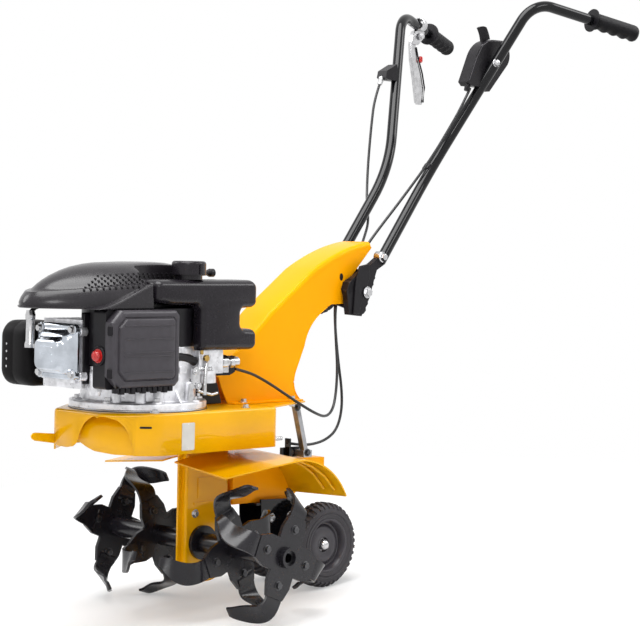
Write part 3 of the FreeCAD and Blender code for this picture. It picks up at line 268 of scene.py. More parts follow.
def cable(name, run, body):
    """A wire's outer as a smooth curve through the frame, held at both ends."""
    curve = bpy.data.curves.new(name, "CURVE")
    curve.dimensions = "3D"
    curve.bevel_depth, curve.bevel_resolution = CABLE_THICK / 2, 4
    curve.use_fill_caps = True
    spline = curve.splines.new("NURBS")
    spline.points.add(len(run) - 1)
    for point, place in zip(spline.points, run):
        point.co = (*(STANCE @ Vector(place)), 1)
    spline.order_u, spline.use_endpoint_u, spline.resolution_u = 3, True, 10
    curve.materials.append(JACKET)
    thing = stand(f"{name}_outer", curve)
    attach(thing, body)
    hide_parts(name)


cable("throttle_cable_lower", THROTTLE_LOWER, "chassis")
cable("clutch_cable_lower", CLUTCH_LOWER, "chassis")
cable("throttle_cable_upper", THROTTLE_UPPER, "handlebar")
cable("clutch_cable_upper", CLUTCH_UPPER, "handlebar")


# ---- drawing tools
def facing(place, axis):
    """A seat at a place in mm: a frame whose Z runs along the axis."""
    turn = Vector(axis).to_track_quat("Z", "Y").to_matrix().to_4x4()
    return Matrix.Translation(Vector(place)) @ turn


def side_view(side=1, across=0):
    """The machine's side view, drawn as (y, z) and built outwards from a distance across."""
    return Matrix(((0, 0, side, side * across), (1, 0, 0, 0), (0, 1, 0, 0), (0, 0, 0, 1)))


SIDE = side_view()


def show(name, shape, finish, stands=None, body="chassis", edge=0, smooth=35):
    """Makes the drawn shape a piece of its body, which may stand for a CAD node."""
    bmesh.ops.recalc_face_normals(shape, faces=shape.faces)
    bmesh.ops.transform(shape, matrix=STANCE, verts=shape.verts)
    mesh = bpy.data.meshes.new(name)
    shape.to_mesh(mesh)
    shape.free()
    mesh.polygons.foreach_set("use_smooth", [True] * len(mesh.polygons))
    mesh.set_sharp_from_angle(angle=math.radians(smooth))
    mesh.materials.append(finish)
    thing = stand(name, mesh)
    soften(thing, edge)
    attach(thing, body)
    if stands:
        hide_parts(stands)
    return thing


def thicken(thing, wall):
    """Gives an open sheet its thickness, inwards."""
    sheet = thing.modifiers.new("wall", "SOLIDIFY")
    sheet.thickness, sheet.offset = wall / 1000, -1


def rings(shape, loops, closed=False):
    """Skins loops of equal counts, with end caps unless they close on themselves."""
    made = [[shape.verts.new(point) for point in loop] for loop in loops]
    count = len(made[0])
    pairs = list(zip(made, made[1:])) + ([(made[-1], made[0])] if closed else [])
    for low, high in pairs:
        for n in range(count):
            shape.faces.new((low[n], low[(n + 1) % count], high[(n + 1) % count], high[n]))
    if not closed:
        shape.faces.new(list(reversed(made[0])))
        shape.faces.new(made[-1])


def circle(radius, steps):
    """Points round a circle about the origin."""
    return [(radius * math.cos(turn), radius * math.sin(turn))
            for turn in (2 * math.pi * n / steps for n in range(steps))]


def stack(shape, seat, levels, closed=False):
    """Skins (height, outline) levels up the seat's Z."""
    rings(shape, [[seat @ Vector((x, y, height)) for x, y in outline]
                  for height, outline in levels], closed)


def lathe(shape, seat, profile, steps, closed=False):
    """Turns (height, radius) points about the seat's Z."""
    stack(shape, seat, [(height, circle(radius, steps)) for height, radius in profile], closed)


def prism(shape, seat, outline, low, high, taper=1):
    """An outline drawn up the seat's Z, its far end smaller by the taper."""
    stack(shape, seat, [(low, outline), (high, [(x * taper, y * taper) for x, y in outline])])


def oblong(wide, tall, corner, steps=4):
    """A centred rectangle with round corners."""
    points = []
    for quarter, (x, y) in enumerate(((1, 1), (-1, 1), (-1, -1), (1, -1))):
        for n in range(steps + 1):
            turn = math.pi / 2 * (quarter + n / steps)
            points.append((x * (wide / 2 - corner) + corner * math.cos(turn),
                           y * (tall / 2 - corner) + corner * math.sin(turn)))
    return points


def pressed_box(shape, seat, levels, steps):
    """A box of (wide, tall, corner, height) levels; a fifth value moves a level up the seat."""
    stack(shape, seat, [
        (height, [(x, y + sum(moved)) for x, y in oblong(wide, tall, corner, steps)])
        for wide, tall, corner, height, *moved in levels])


def bolt(shape, place, axis, radius=5, head=4, washer=1.5, turn=0.3):
    """A hexagon head on its washer, seated on the surface at the place."""
    seat = facing(place, axis) @ Matrix.Rotation(turn, 4, "Z")
    wide, top = radius * washer, 0.7 + head
    lathe(shape, seat, [(-0.5, wide), (0.7, wide), (1.0, wide - 0.4)], 20)
    lathe(shape, seat, [(0.5, radius), (top, radius), (top + 0.5, radius * 0.86)], 6)


def runs(points):
    """The way along an open line at each of its points."""
    line = [Vector(point) for point in points]
    return [ahead - behind for behind, ahead in zip(line[:1] + line, line[1:] + line[-1:])]


def bar(shape, points, radius, steps=12):
    """A round rod bent through its points."""
    seats = [facing(point, run) for point, run in zip(points, runs(points))]
    rings(shape, [[seat @ Vector((x, y, 0)) for x, y in circle(radius, steps)]
                  for seat in seats])


def round_path(corners, steps=6):
    """A closed outline through (x, y, radius) corners, each turned by an arc."""
    points = []
    for n, (x, y, radius) in enumerate(corners):
        here = Vector((x, y))
        back = (Vector(corners[n - 1][:2]) - here).normalized()
        ahead = (Vector(corners[(n + 1) % len(corners)][:2]) - here).normalized()
        half = back.angle(ahead) / 2
        centre = here + (back + ahead).normalized() * radius / math.sin(half)
        start, end = (here + way * radius / math.tan(half) - centre for way in (back, ahead))
        for k in range(steps + 1):
            points.append(centre + start.lerp(end, k / steps).normalized() * radius)
    return points


def inward(outline):
    """The directions that point into a closed outline at its points."""
    ways = [(ahead - behind).normalized() for behind, ahead
            in zip(outline[-1:] + outline[:-1], outline[1:] + outline[:1])]
    return [Vector((-way.y, way.x)) for way in ways]


def bend(start, via, end, steps=10):
    """Points along the parabola that runs from start through via to end."""
    start, via, end = Vector(start), Vector(via), Vector(end)
    return [start * (1 - t) * (1 - 2 * t) + via * 4 * t * (1 - t) + end * t * (2 * t - 1)
            for t in (n / steps for n in range(steps + 1))]


def along(table, x):
    """The value that a table of (x, value) gives at x, or nothing outside it."""
    for (left, low), (right, high) in zip(table, table[1:]):
        if left <= x <= right:
            return low + (high - low) * (x - left) / (right - left)
    return None


def draw(name, finish, *parts, **shown):
    """Shows a piece made of parts: each is a tool, and what its call says after the shape."""
    shape = bmesh.new()
    for tool, *rest in parts:
        tool(shape, *rest)
    show(name, shape, finish, **shown)


# ---- fan cover
CRANK_Y, DECK_TOP = -135, 234
HOOD_LOW, HOOD_HIGH, HOOD_HALF, HOOD_FORE, HOOD_AFT, HOOD_STEPS = 398, 74, 112, 238, 112, 96
NOSE_DIP, NOSE_SLIM, NOSE_LEAN = 0.42, 0.22, 0.035
# the wall where the hood stops short, on the tank's side
WALL_OUT, WALL_FRONT = 49, -194
# the hood's reach at shares of its height, as shares of its reach at the rim
HOOD_SWELL = [(0, 0.985), (0.08, 0.995), (0.22, 0.98), (0.36, 0.95), (0.48, 0.905), (0.57, 0.86),
              (0.66, 0.808), (0.745, 0.745), (0.83, 0.67), (0.9, 0.58), (0.955, 0.47),
              (0.985, 0.34), (0.998, 0.18), (1.0, 0.03)]
GRILLE_STEP, GRILLE_SWEEP, GRILLE_RISE = 9.5, 7, 4.6


def hood_ring(height, inset):
    """One level of the teardrop, a share of its height; levels dip towards the nose."""
    points = []
    for n in range(HOOD_STEPS):
        turn = 2 * math.pi * n / HOOD_STEPS
        ahead = max(0.0, -math.sin(turn))
        level = height * (1 - NOSE_DIP * ahead ** 1.5 * math.sin(math.pi * height))
        share = along(HOOD_SWELL, level) - inset
        fore = HOOD_FORE * (1 - NOSE_LEAN * level)
        reach = share * (HOOD_AFT if math.sin(turn) > 0 else fore)
        points.append(Vector((share * HOOD_HALF * math.cos(turn) * (1 - NOSE_SLIM * ahead ** 2),
                              CRANK_Y + reach * math.sin(turn), HOOD_LOW + level * HOOD_HIGH)))
    return points


def hood():
    """The dome: a rolled rim, a swelling side, and a bonnet set in behind a crease."""
    shape = bmesh.new()
    rim = [(0.02, 0.7), (0.02, 0.04), (0.004, 0.015), (0, 0), (0.02, -0.008),
           (0.05, -0.006), (0.06, 0.004)]
    side = [(0.14, 0), (0.25, 0), (0.36, 0), (0.46, 0), (0.545, 0), (0.575, 0.002)]
    bonnet = [(0.585, 0.026), (0.6, 0.034), (0.66, 0.034), (0.72, 0.03), (0.78, 0.026),
              (0.84, 0.022), (0.9, 0.016), (0.94, 0.01), (0.97, 0.004), (0.985, 0),
              (0.998, 0), (1.0, 0)]
    rings(shape, [hood_ring(*level) for level in rim + side + bonnet])
    for vert in shape.verts:
        if vert.co.x > WALL_OUT and vert.co.y > WALL_FRONT:
            vert.co.x = WALL_OUT + (vert.co.x - WALL_OUT) * 0.02
    return shape


def grilles(surface):
    """Short dark marks in two fields, one on each flank of the bonnet: painted shade in the
    grille's openings.
    """
    shape = bmesh.new()
    slat = oblong(5.6, 3.4, 1, 2)
    for side, rows, columns in ((1, 6, 21), (-1, 5, 12)):
        for row in range(rows):
            for column in range(columns):
                start = Vector((side * 200, -300 + column * GRILLE_STEP + row * GRILLE_SWEEP,
                                HOOD_LOW + 46 + row * GRILLE_RISE + column * 0.35))
                place, normal = surface.ray_cast(start, Vector((-side, 0, -0.12)))[:2]
                if place:
                    away = normal if normal.x * side > 0 else -normal
                    # each mark is black, darker than the hood: painted shade in a grille opening
                    prism(shape, facing(place, away), slat, -1, 1.5, 0.75)
    return shape


def fan_cover():
    """The hood with the painted shade of its grilles, the skirt below it, and the cheek beside the
    tank.
    """
    shape = hood()
    grille_shade_marks = grilles(BVHTree.FromBMesh(shape))
    show("fan_cover", shape, DOME, "blower_shroud", smooth=28)
    show("fan_cover_grille_shade", grille_shade_marks, BLACK, smooth=40)
    draw("fan_cover_skirt", BLACK, (lathe, facing((0, CRANK_Y, HOOD_LOW), UP), [
        (-59.6, 88), (-59.6, 93.6), (-57, 94), (-6, 94), (-2, 95), (0.6, 95), (0.6, 88)], 72))
    draw("fan_cover_cheek", DOME, (prism, SIDE, [
        (-306, 398.2), (-283, 404), (-262, 411.5), (-238, 422), (-214, 432), (-197, 438),
        (-195, 398.2)], 40, 106.5), edge=5, smooth=30)


# ---- engine
FILTER_FRONT, FILTER_REAR, FILTER_LOW, FILTER_TOP = -288, -148, 276.2, 397.8
DRUM_CLEAR, DRUM_RAD, BOLT_CIRCLE = 97, 94, 103


def spark_boot():
    """The plug's capped boot, with its lead up to the fan cover."""
    draw("spark_boot", ZINC, (lathe, facing((-59.2, -311, 332.4), UP), [
        (0, 5), (0, 8.6), (5, 8.9), (8, 8.2), (10, 7.2), (44, 6.6), (46, 8), (52, 8.4),
        (55, 7.4), (59.4, 6.6), (59.4, 2)], 28), (bar, [
            (-59, -311, 343), (-55, -309, 337), (-46, -305, 334), (-38, -300, 333)], 5),
         stands="spark_plug")
    draw("spark_lead", BLACK, (bar, [(-59, -311, 389), (-56, -304, 396), (-50, -290, 402)], 3.5))


def rocker_cover():
    """The bright pressed cover: a bolted rim, a soft step, and a plain raised box."""
    shape, bolts = bmesh.new(), bmesh.new()
    seat = facing((1, -298.2, 330), AHEAD)
    pressed_box(shape, seat, [
        (98, 86, 15, 0), (100, 88, 16, 1.5), (100, 88, 16, 4.5), (97, 85, 15, 6.6),
        (90, 78, 13, 7.4), (84, 72, 13, 7.6), (80, 68, 12, 9, -1), (78, 66, 12, 12, -2),
        (74, 62, 12, 15.5, -3), (70, 58, 12, 17, -4), (66, 54, 12, 18.2, -4),
        (62, 50, 11, 22, -5), (60, 48, 11, 26, -5), (56, 44, 10, 28.6, -5),
        (50, 38, 8, 29.6, -5)], 6)
    for x, y in ((-41, -35), (41, -35), (41, 35), (-41, 35)):
        ear = seat @ Matrix.Translation((x, y, 5))
        lathe(shape, ear, [(-4, 9), (2.6, 8.6), (3.4, 7.6)], 20)
        bolt(bolts, seat @ Vector((x, y, 8)), AHEAD, 5.4, 4.6, 1.3)
    for n in range(3):
        rib = seat @ Matrix.Translation((0, -16 + 11 * n, 29.4))
        prism(shape, rib, oblong(38, 4, 1.6), -1, 1, 0.9)
    show("rocker_cover_pressed", shape, CHROME, "rocker_cover", smooth=45)
    show("rocker_cover_bolts", bolts, ZINC)


def filter_cover():
    """The clipped cover: chamfered front corners, a rounded shoulder, a raised face and ridges."""
    def outline(inset):
        """The cover's side view, drawn in by the inset."""
        front, rear = FILTER_FRONT + inset, FILTER_REAR - inset
        low, top = FILTER_LOW + inset, FILTER_TOP - inset
        clip, nick, turn = 19 - 0.4 * inset, max(8 - 0.3 * inset, 2.4), 1.2
        return round_path([(front, low + clip, turn), (front + clip, low, turn),
                           (rear - nick, low, turn), (rear, low + nick, turn),
                           (rear, top - nick, turn), (rear - nick, top, turn),
                           (front + clip, top, turn), (front, top - clip, turn)], 3)

    shape = bmesh.new()
    levels = [(100, 0), (111, 0), (114.5, 0.9), (116.8, 2.8), (118, 6), (118, 10.5),
              (116.6, 11.5), (116.6, 12.5), (120.6, 14), (121.4, 15.5), (121.4, 30)]
    stack(shape, SIDE, [(across, outline(inset)) for across, inset in levels])
    fore, aft = FILTER_FRONT + 22, FILTER_REAR - 16
    for up in (300, 325, 331, 352, 373):
        prism(shape, SIDE, [(fore, up), (aft, up), (aft, up + 1.8), (fore, up + 1.8)],
              121, 122.4)
    show("filter_cover_shell", shape, SATIN, "filter_cover", edge=0.4, smooth=40)


def filter_details():
    """Latches on the cover's chamfer, drain teeth below it, the primer's ring and a hose."""
    shape = bmesh.new()
    for up in (300, 366):
        latch = facing((112, FILTER_FRONT, up), (0.5, -1, 0))
        prism(shape, latch, oblong(9, 17, 3), -4, 2.5, 0.9)
    for n in range(11):
        tooth = facing((110, FILTER_FRONT + 14 + 11 * n, 268), UP)
        prism(shape, tooth, oblong(9, 8.5, 1.5), 1 - 2 * (n % 2), 9)
    lathe(shape, facing((85, -286.5, 326.2), AHEAD), [
        (0, 11.3), (0, 15.5), (3, 15.5), (4.6, 14), (4.6, 12), (3, 11.3)], 36, closed=True)
    show("filter_latches", shape, BLACK, edge=0.8)
    # black slabs in the gap behind the filter cover and between the crankcase and the column:
    # painted shade in those gaps
    draw("engine_gap_shade", BLACK,
         (prism, SIDE, [(-290, 280), (-232, 280), (-232, 392), (-290, 392)], 42, 50),
         (prism, SIDE, [(-46, 236), (14, 236), (6, 262), (-8, 300), (-46, 300)], 38, 42), edge=2)
    draw("breather_hose", BLACK, (bar, [(98, -172, 312), (96, -160, 316), (93, -144, 320),
                                        (90, -126, 321), (87, -106, 318), (84, -88, 312)], 7.5, 16))


def fuel_tank():
    """The blow-moulded tank: neck over the drum, notch at the rear, every edge swept round."""
    path = round_path([(-192, 408, 10), (-150, 404, 20), (-96, 404, 10), (-96, 330, 11),
                       (30, 330, 11), (30, 364, 11), (-6, 366, 9), (-6, 398, 9), (30, 400, 11),
                       (30, 445, 14), (-192, 445, 12)], 8)
    ways = inward(path)
    shape = bmesh.new()
    levels = [(54, 9), (50.5, 4), (53, 0.6), (58, 0), (94, 0), (99, 0.5), (103, 1.8),
              (106.5, 4), (109, 7), (110, 10)]
    stack(shape, SIDE, [(across, [point + way * inset for point, way in zip(path, ways)])
                        for across, inset in levels])
    for vert in shape.verts:
        clear = DRUM_CLEAR ** 2 - (vert.co.y - CRANK_Y) ** 2
        if vert.co.z < HOOD_LOW and clear > 0 and vert.co.x < DRUM_CLEAR:
            vert.co.x = max(vert.co.x, math.sqrt(clear))
    show("fuel_tank_moulded", shape, TANK, "fuel_tank", smooth=50)


def from_crank(degrees, radius, height):
    """The way out from the crank at an angle, and the place that far along it over the deck."""
    turn = math.radians(degrees)
    out = Vector((math.cos(turn), math.sin(turn), 0))
    return out, Vector((0, CRANK_Y, DECK_TOP + height)) + out * radius


def cast_details():
    """Bolts round the base flange, bosses up the drum, the head's bosses and the flange's rim."""
    shape, bosses = bmesh.new(), bmesh.new()
    for n in range(8):
        _, place = from_crank(22 + 45 * n, BOLT_CIRCLE, 9)
        lathe(bosses, facing(place, UP), [(0, 8.6), (6.5, 8.3), (7.6, 7.4)], 20)
        bolt(shape, (place.x, place.y, DECK_TOP + 16.6), UP, 4.6, 4.5)
    for degrees, high in ((-62, 40), (-38, 58), (-20, 40), (20, 34)):
        _, place = from_crank(degrees, DRUM_RAD, 12)
        lathe(bosses, facing(place, UP), [(0, 9.5), (high - 3, 7.6), (high, 6.4)], 20)
        bolt(shape, place + Vector((0, 0, high)), UP, 4.2, 4)
    for degrees in (-50, -28, 8):
        out, place = from_crank(degrees, DRUM_RAD - 1, 66)
        prism(bosses, facing(place, out), oblong(22, 14, 4), -4, 4, 0.85)
    for across, up in ((-44, 292), (46, 292), (46, 362), (-44, 362)):
        lathe(bosses, facing((across, -292, up), AHEAD), [(-8, 8), (5, 7.4)], 18)
    show("crankcase_bosses", bosses, ALLOY, edge=0.8)
    show("crankcase_bolts", shape, ZINC)
    rim = bmesh.new()
    lathe(rim, facing((0, CRANK_Y, DECK_TOP + 0.4), UP), [
        (0, 105), (0, 112.4), (2.6, 112.6), (3.6, 111.8), (3.6, 105)], 96, closed=True)
    show("crankcase_machined_edge", rim, CHROME, smooth=20)
    gasket = bmesh.new()
    lathe(gasket, Matrix.Translation((0, CRANK_Y, DECK_TOP - 0.6)), [
        (0, 105), (0, 113.4), (1.5, 113.4), (1.5, 105)], 96, closed=True)
    show("crankcase_gasket", gasket, BLACK)


def governor_details():
    """The throttle swivel behind the carburettor, its lever, spring and screws."""
    silver = bmesh.new()
    lathe(silver, facing((78, -46, 309), REAR), [
        (0, 8), (0, 11), (10, 11), (10, 8.5), (17, 8.5), (17, 12), (30, 12), (30, 8), (38, 8),
        (38, 10.5), (46, 10.5), (48, 8), (58, 8), (60, 5)], 24)
    lathe(silver, facing((78, -18, 292), UP), [(0, 6), (0, 9), (10, 9), (10, 6), (22, 6)], 20)
    bar(silver, [(99, -78, 258), (98, -77, 282), (97, -74, 304), (95, -66, 322)], 3.2)
    bar(silver, [(97, -92, 266), (98, -80, 262), (98, -62, 258), (96, -48, 260)], 2.6)
    coil = [(94 + 3.2 * math.cos(n * 1.05), -100 + n * 0.72, 300 + 3.2 * math.sin(n * 1.05))
            for n in range(60)]
    bar(silver, coil, 0.8, 6)
    prism(silver, facing((96, -96, 286), LEFT), oblong(16, 34, 4), -2, 2)
    for place in ((99, -92, 274), (99, -98, 298)):
        bolt(silver, place, LEFT, 4.2, 3.2)
    show("governor_linkage", silver, ZINC)
    draw("governor_brass", BRASS,
         (lathe, facing((99, -78, 318), LEFT), [(0, 3), (0, 5.2), (5, 5.2), (6, 4)], 18),
         (prism, facing((97, -84, 330), LEFT), oblong(5, 12, 1.5), -1.5, 1.5))


def muffler():
    """A pressed box with round corners and a crowned face, its pipe, and vents up its edge."""
    shape, vents = bmesh.new(), bmesh.new()
    pressed_box(shape, Matrix.Translation((-157, -257.5, 320)) @ SIDE, [
        (58, 76, 20, 0), (70, 90, 22, 1.2), (79, 100, 24, 4.4), (84, 105, 25, 9.5),
        (85, 106, 25, 16), (85, 106, 25, 34), (84.4, 105.4, 25, 35), (84.4, 105.4, 25, 39),
        (85, 106, 25, 40), (85, 106, 25, 60), (82, 103, 24, 68), (74, 94, 22, 73.4),
        (60, 80, 18, 75)], 7)
    bar(shape, [(-84, -252, 326), (-64, -252, 328), (-42, -252, 330)], 12, 20)
    show("muffler_shell", shape, MUFFLER, "muffler", smooth=40)
    for n in range(4):
        lathe(vents, facing((-136, -299.8, 298 + 12.2 * n), AHEAD), [
            (-1, 1.9), (0.35, 1.9), (0.35, 0.5)], 12)
    show("muffler_vents", vents, ZINC)


# ---- wheels
WHEEL_RAD, TYRE_HALF, RIM_RAD, TREAD_DEPTH, LUG_COUNT = 75, 19, 47, 4.2, 38


def hub(side, out=0):
    """A place on a wheel's axis, so far out from the wheel's middle."""
    return side * (WHEEL_TRACK + out), WHEEL_BACK, -WHEEL_LOW


def tyre(side, which):
    """A carcass with moulded side rings, and two staggered rows of lugs on the tread."""
    shape = bmesh.new()
    seat = facing(hub(side), (side, 0, 0))
    half, tread = TYRE_HALF, WHEEL_RAD - TREAD_DEPTH
    flank = [(half - 3, RIM_RAD), (half - 1.2, RIM_RAD + 3), (half - 0.4, RIM_RAD + 7),
             (half - 1.6, RIM_RAD + 8), (half - 1.6, RIM_RAD + 10), (half - 0.2, RIM_RAD + 11.5),
             (half - 0.6, tread - 7), (half - 3.2, tread - 3), (half - 7, tread - 0.8)]
    back = [(-across, radius) for across, radius in reversed(flank)]
    lathe(shape, seat, back[-1:] + flank + [(0, tread)] + back[:-1], 96, closed=True)
    for row in (1, -1):
        foot = [(row * 1.5, tread - 3, 3.1), (row * 10, tread - 3.5, 3.3),
                (row * (half - 1.2), tread - 9, 3.0)]
        crown = [(row * 2, WHEEL_RAD - 0.2, 2.4), (row * 10.5, WHEEL_RAD - 0.7, 2.6),
                 (row * (half + 0.2), WHEEL_RAD - 8, 2.3)]
        for n in range(LUG_COUNT):
            turn = 2 * math.pi * (n + 0.25 * row) / LUG_COUNT
            spoke = seat @ Matrix.Rotation(turn, 4, "Z")
            rings(shape, [[spoke @ Vector(corner) for corner in
                           ((r0, -w0, x0), (r1, -w1, x1), (r1, w1, x1), (r0, w0, x0))]
                          for (x0, r0, w0), (x1, r1, w1) in zip(foot, crown)])
    show(f"tyre_{which}_lugged", shape, RUBBER, f"tyre_{which}", f"wheel_{which}", smooth=32)


def wheel_details(side, which):
    """The pressed disc's ring and dish, and the cap nut on the axle end."""
    disc = bmesh.new()
    lathe(disc, facing(hub(side), (side, 0, 0)), [
        (-4, RIM_RAD - 1), (TYRE_HALF - 3.5, RIM_RAD - 1), (TYRE_HALF - 2, RIM_RAD + 0.6),
        (TYRE_HALF - 1.6, RIM_RAD - 2.5), (TYRE_HALF - 4, RIM_RAD - 5), (3.5, RIM_RAD - 7.5),
        (2.4, RIM_RAD - 11), (6.5, RIM_RAD - 14), (8.5, RIM_RAD - 19), (8.5, 20), (7, 16),
        (7, 12.5), (-2.5, 12.5)], 72, closed=True)
    show(f"rim_{which}_disc", disc, SATIN, body=f"wheel_{which}", edge=0.6)
    draw(f"rim_{which}_axle_nut", ZINC, (bolt, hub(side, 1.6), (side, 0, 0), 8.4, 5, 1.3),
         (lathe, facing(hub(side, 6), (side, 0, 0)), [
             (0, 10.2), (3, 10), (6.5, 8.2), (9.2, 4.8), (10.2, 1)], 28))


# ---- tine fastenings
TINE_SPAN, INNER_SPAN, PLATE_THICK, ARM_ANGLE, BOLT_REACH = 214, 95, 6.5, 68, 47


def tine_bolts():
    """Bolts through both faces of the star plates, and a collar at each end of the shaft."""
    outer, inner = bmesh.new(), bmesh.new()
    for side in (1, -1):
        for span, phase, into in ((TINE_SPAN, 0, outer), (INNER_SPAN, 45, inner)):
            for quarter in range(4):
                turn = math.radians(ARM_ANGLE + phase + 90 * quarter)
                for face in (1, -1):
                    place = (side * span + face * PLATE_THICK / 2,
                             BOLT_REACH * math.cos(turn), BOLT_REACH * math.sin(turn))
                    head = 3.6 if face == side else 6.0
                    bolt(into, place, (face, 0, 0), 5.6, head, 1.35, turn)
        collar = facing((side * (TINE_SPAN + 12), 0, 0), (side, 0, 0))
        lathe(outer, collar, [(-9, 12.2), (-9, 17), (0.2, 17), (0.2, 15.8), (-0.8, 12.2)], 40,
              closed=True)
    show("tine_plate_bolts", outer, STEEL, body="tine_rotor")
    show("tine_inner_bolts", inner, STEEL, body="tine_rotor")


# ---- pan, guards and column
PAN_HALF, PAN_NOSE_HALF, PAN_FRONT, PAN_TURN, PAN_SIDE_END, PAN_TAIL = 118, 59, -262, -190, 70, 202
PAN_LOW, SHEET, COLUMN_HALF, SHOULDER, FOOT = 167, 2.5, 38, 8, DECK_TOP + 0.3
# heights at places across: the nose wall's lower edge, and the opening's that rises from it
NOSE_EDGE = [(-60, 177), (-45, 174), (-24, 173.5), (-10, 176), (0, 183)]
OPENING_EDGE = [(0, 183), (5, 194), (11, 206), (18, 215), (28, 222.5), (38, 227), (49, 229),
                (64, 228), (76, 223), (84, 212), (89, 196), (92, 172)]
LINING_EDGE = [(-16, 190), (0, 184), (12, 177), (26, 171), (60, PAN_LOW), (97, PAN_LOW)]


def deck():
    """The folded pan: round corners, a soft top edge, and the nose's open lower edge."""
    rough = round_path([(-PAN_NOSE_HALF, PAN_FRONT, 20), (PAN_NOSE_HALF, PAN_FRONT, 20),
                        (PAN_HALF, PAN_TURN, 34), (PAN_HALF, PAN_SIDE_END + 4, 12),
                        (-PAN_HALF, PAN_SIDE_END + 4, 12), (-PAN_HALF, PAN_TURN, 34)], 8)
    # the nose is divided every 4 mm, so that its lower edge can follow the tables
    outline = []
    for here, ahead in zip(rough, rough[1:] + rough[:1]):
        steps = max(1, round((ahead - here).length / 4)) if here.y < -150 else 1
        outline += [here.lerp(ahead, n / steps) for n in range(steps)]
    shape = bmesh.new()
    columns = []
    for point, way in zip(outline, inward(outline)):
        edge = along(NOSE_EDGE + OPENING_EDGE, point.x) if point.y < PAN_TURN else None
        levels = [(*point, edge or PAN_LOW)]
        levels += [(*(point + way * inset), DECK_TOP - drop)
                   for inset, drop in ((0, 5.4), (0.8, 2.6), (2.6, 0.8), (5.4, 0))]
        columns.append([shape.verts.new(level) for level in levels])
    for left, right in zip(columns[-1:] + columns[:-1], columns):
        for k in range(4):
            shape.faces.new((left[k], right[k], right[k + 1], left[k + 1]))
    shape.faces.new([column[-1] for column in columns])
    bmesh.ops.remove_doubles(shape, verts=shape.verts, dist=0.02)
    thicken(show("deck", shape, SHADED_YELLOW, "deck_pan", smooth=40), SHEET)


def deck_details():
    """The lining behind the opening, the flat tail, the tongue at the nose, and a dark oblong that
    paints the shade in the slot.
    """
    scoop = bmesh.new()
    columns = [[scoop.verts.new((*place, z)) for z in (along(LINING_EDGE, place.x) + 0.01, 231)]
               for place in bend((-16, -258.5), (44, -240), (97, -210.5), 14)]
    for near, far in zip(columns, columns[1:]):
        scoop.faces.new((near[0], far[0], far[1], near[1]))
    thicken(show("deck_scoop", scoop, SHADED_YELLOW), SHEET / 2)
    wide = PAN_HALF - 6
    tail = round_path([
        (wide, 60, 4), (wide, PAN_SIDE_END - 2, 10), (56, PAN_TAIL, 12), (-56, PAN_TAIL, 12),
        (-wide, PAN_SIDE_END - 2, 10), (-wide, 60, 4)])
    draw("deck_tail", SHADED_YELLOW, (prism, Matrix(), tail, DECK_TOP - SHEET - 0.2, DECK_TOP), edge=0.6)
    root = PAN_FRONT + 6
    draw("deck_tongue", SHADED_YELLOW, (prism, SIDE, [
        (root, 192), (-298, 196), (-304, 195), (-307, 191), (-305, 186), (-300, 183),
        (root, 176)], -60, -56.5), edge=0.8)
    # the slot is a dark oblong on the sheet: painted shade in its opening
    slot = facing((104.5, -206.4, 212), (0.774, -0.634, 0))
    draw("deck_slot_shade", BLACK, (prism, slot, oblong(19, 3.4, 1), -2, 0.35))


def column_section():
    """The column's top across: round shoulders, outside and in, as (across, up)."""
    section = []
    for wall in (0, SHEET):
        skin = []
        for side in (1, -1):
            for k in range(7):
                swing = math.pi / 2 * (k / 6 if side > 0 else 1 - k / 6)
                reach = COLUMN_HALF - SHOULDER + (SHOULDER - wall) * math.cos(swing)
                skin.append((side * reach, (SHOULDER - wall) * math.sin(swing) - SHOULDER))
        section += skin[::-1] if wall else skin
    return section


def column_sheet():
    """The bent column: two side sheets with flat feet, and a top turned over them."""
    top = bend((-12, 290), (62, 333), (130, 389)) + bend((232, 463), (305, 496.5), (376, 514))
    rear = ([(380, 503), (314, 437), (311, 402)] + bend((278, 401), (233, 371), (211, 329))
            + bend((192, 287), (188, 258), (204, FOOT)))
    front = [(32, FOOT), (16, 262), (8, 281)]
    section = column_section()
    loops, lowered = [], []
    for place, run in zip(top, runs(top)):
        away = Vector((-run.y, run.x)).normalized()
        lowered.append(place - away * SHOULDER)
        loops.append([Vector((across, place.x + away.x * up, place.y + away.y * up))
                      for across, up in section])
    shape, sides = bmesh.new(), bmesh.new()
    rings(shape, loops)
    outline = lowered + rear + front
    prism(sides, SIDE, outline, COLUMN_HALF - SHEET, COLUMN_HALF)
    prism(sides, SIDE, outline, -COLUMN_HALF, SHEET - COLUMN_HALF)
    for side in (1, -1):
        prism(sides, facing((side * 45.5, 114, FOOT), UP), oblong(20, 164, 3), 0, SHEET)
        bar(sides, [(side * (COLUMN_HALF - 0.6), *point) for point in rear[4:]], 1.5, 8)
    show("column_top", shape, YELLOW, "column", smooth=50)
    show("column_sides", sides, YELLOW, smooth=30)


def strut():
    """The flat bar that holds the guard up to the pan's tail."""
    draw("guard_strut", GREY,
         (prism, SIDE, [(193, 231), (203, 231), (231, 134), (221, 134)], 25, 37),
         (prism, SIDE, [(217, 144), (238, 144), (238, 132), (217, 132)], -8, 37),
         stands="stay", edge=0.8)


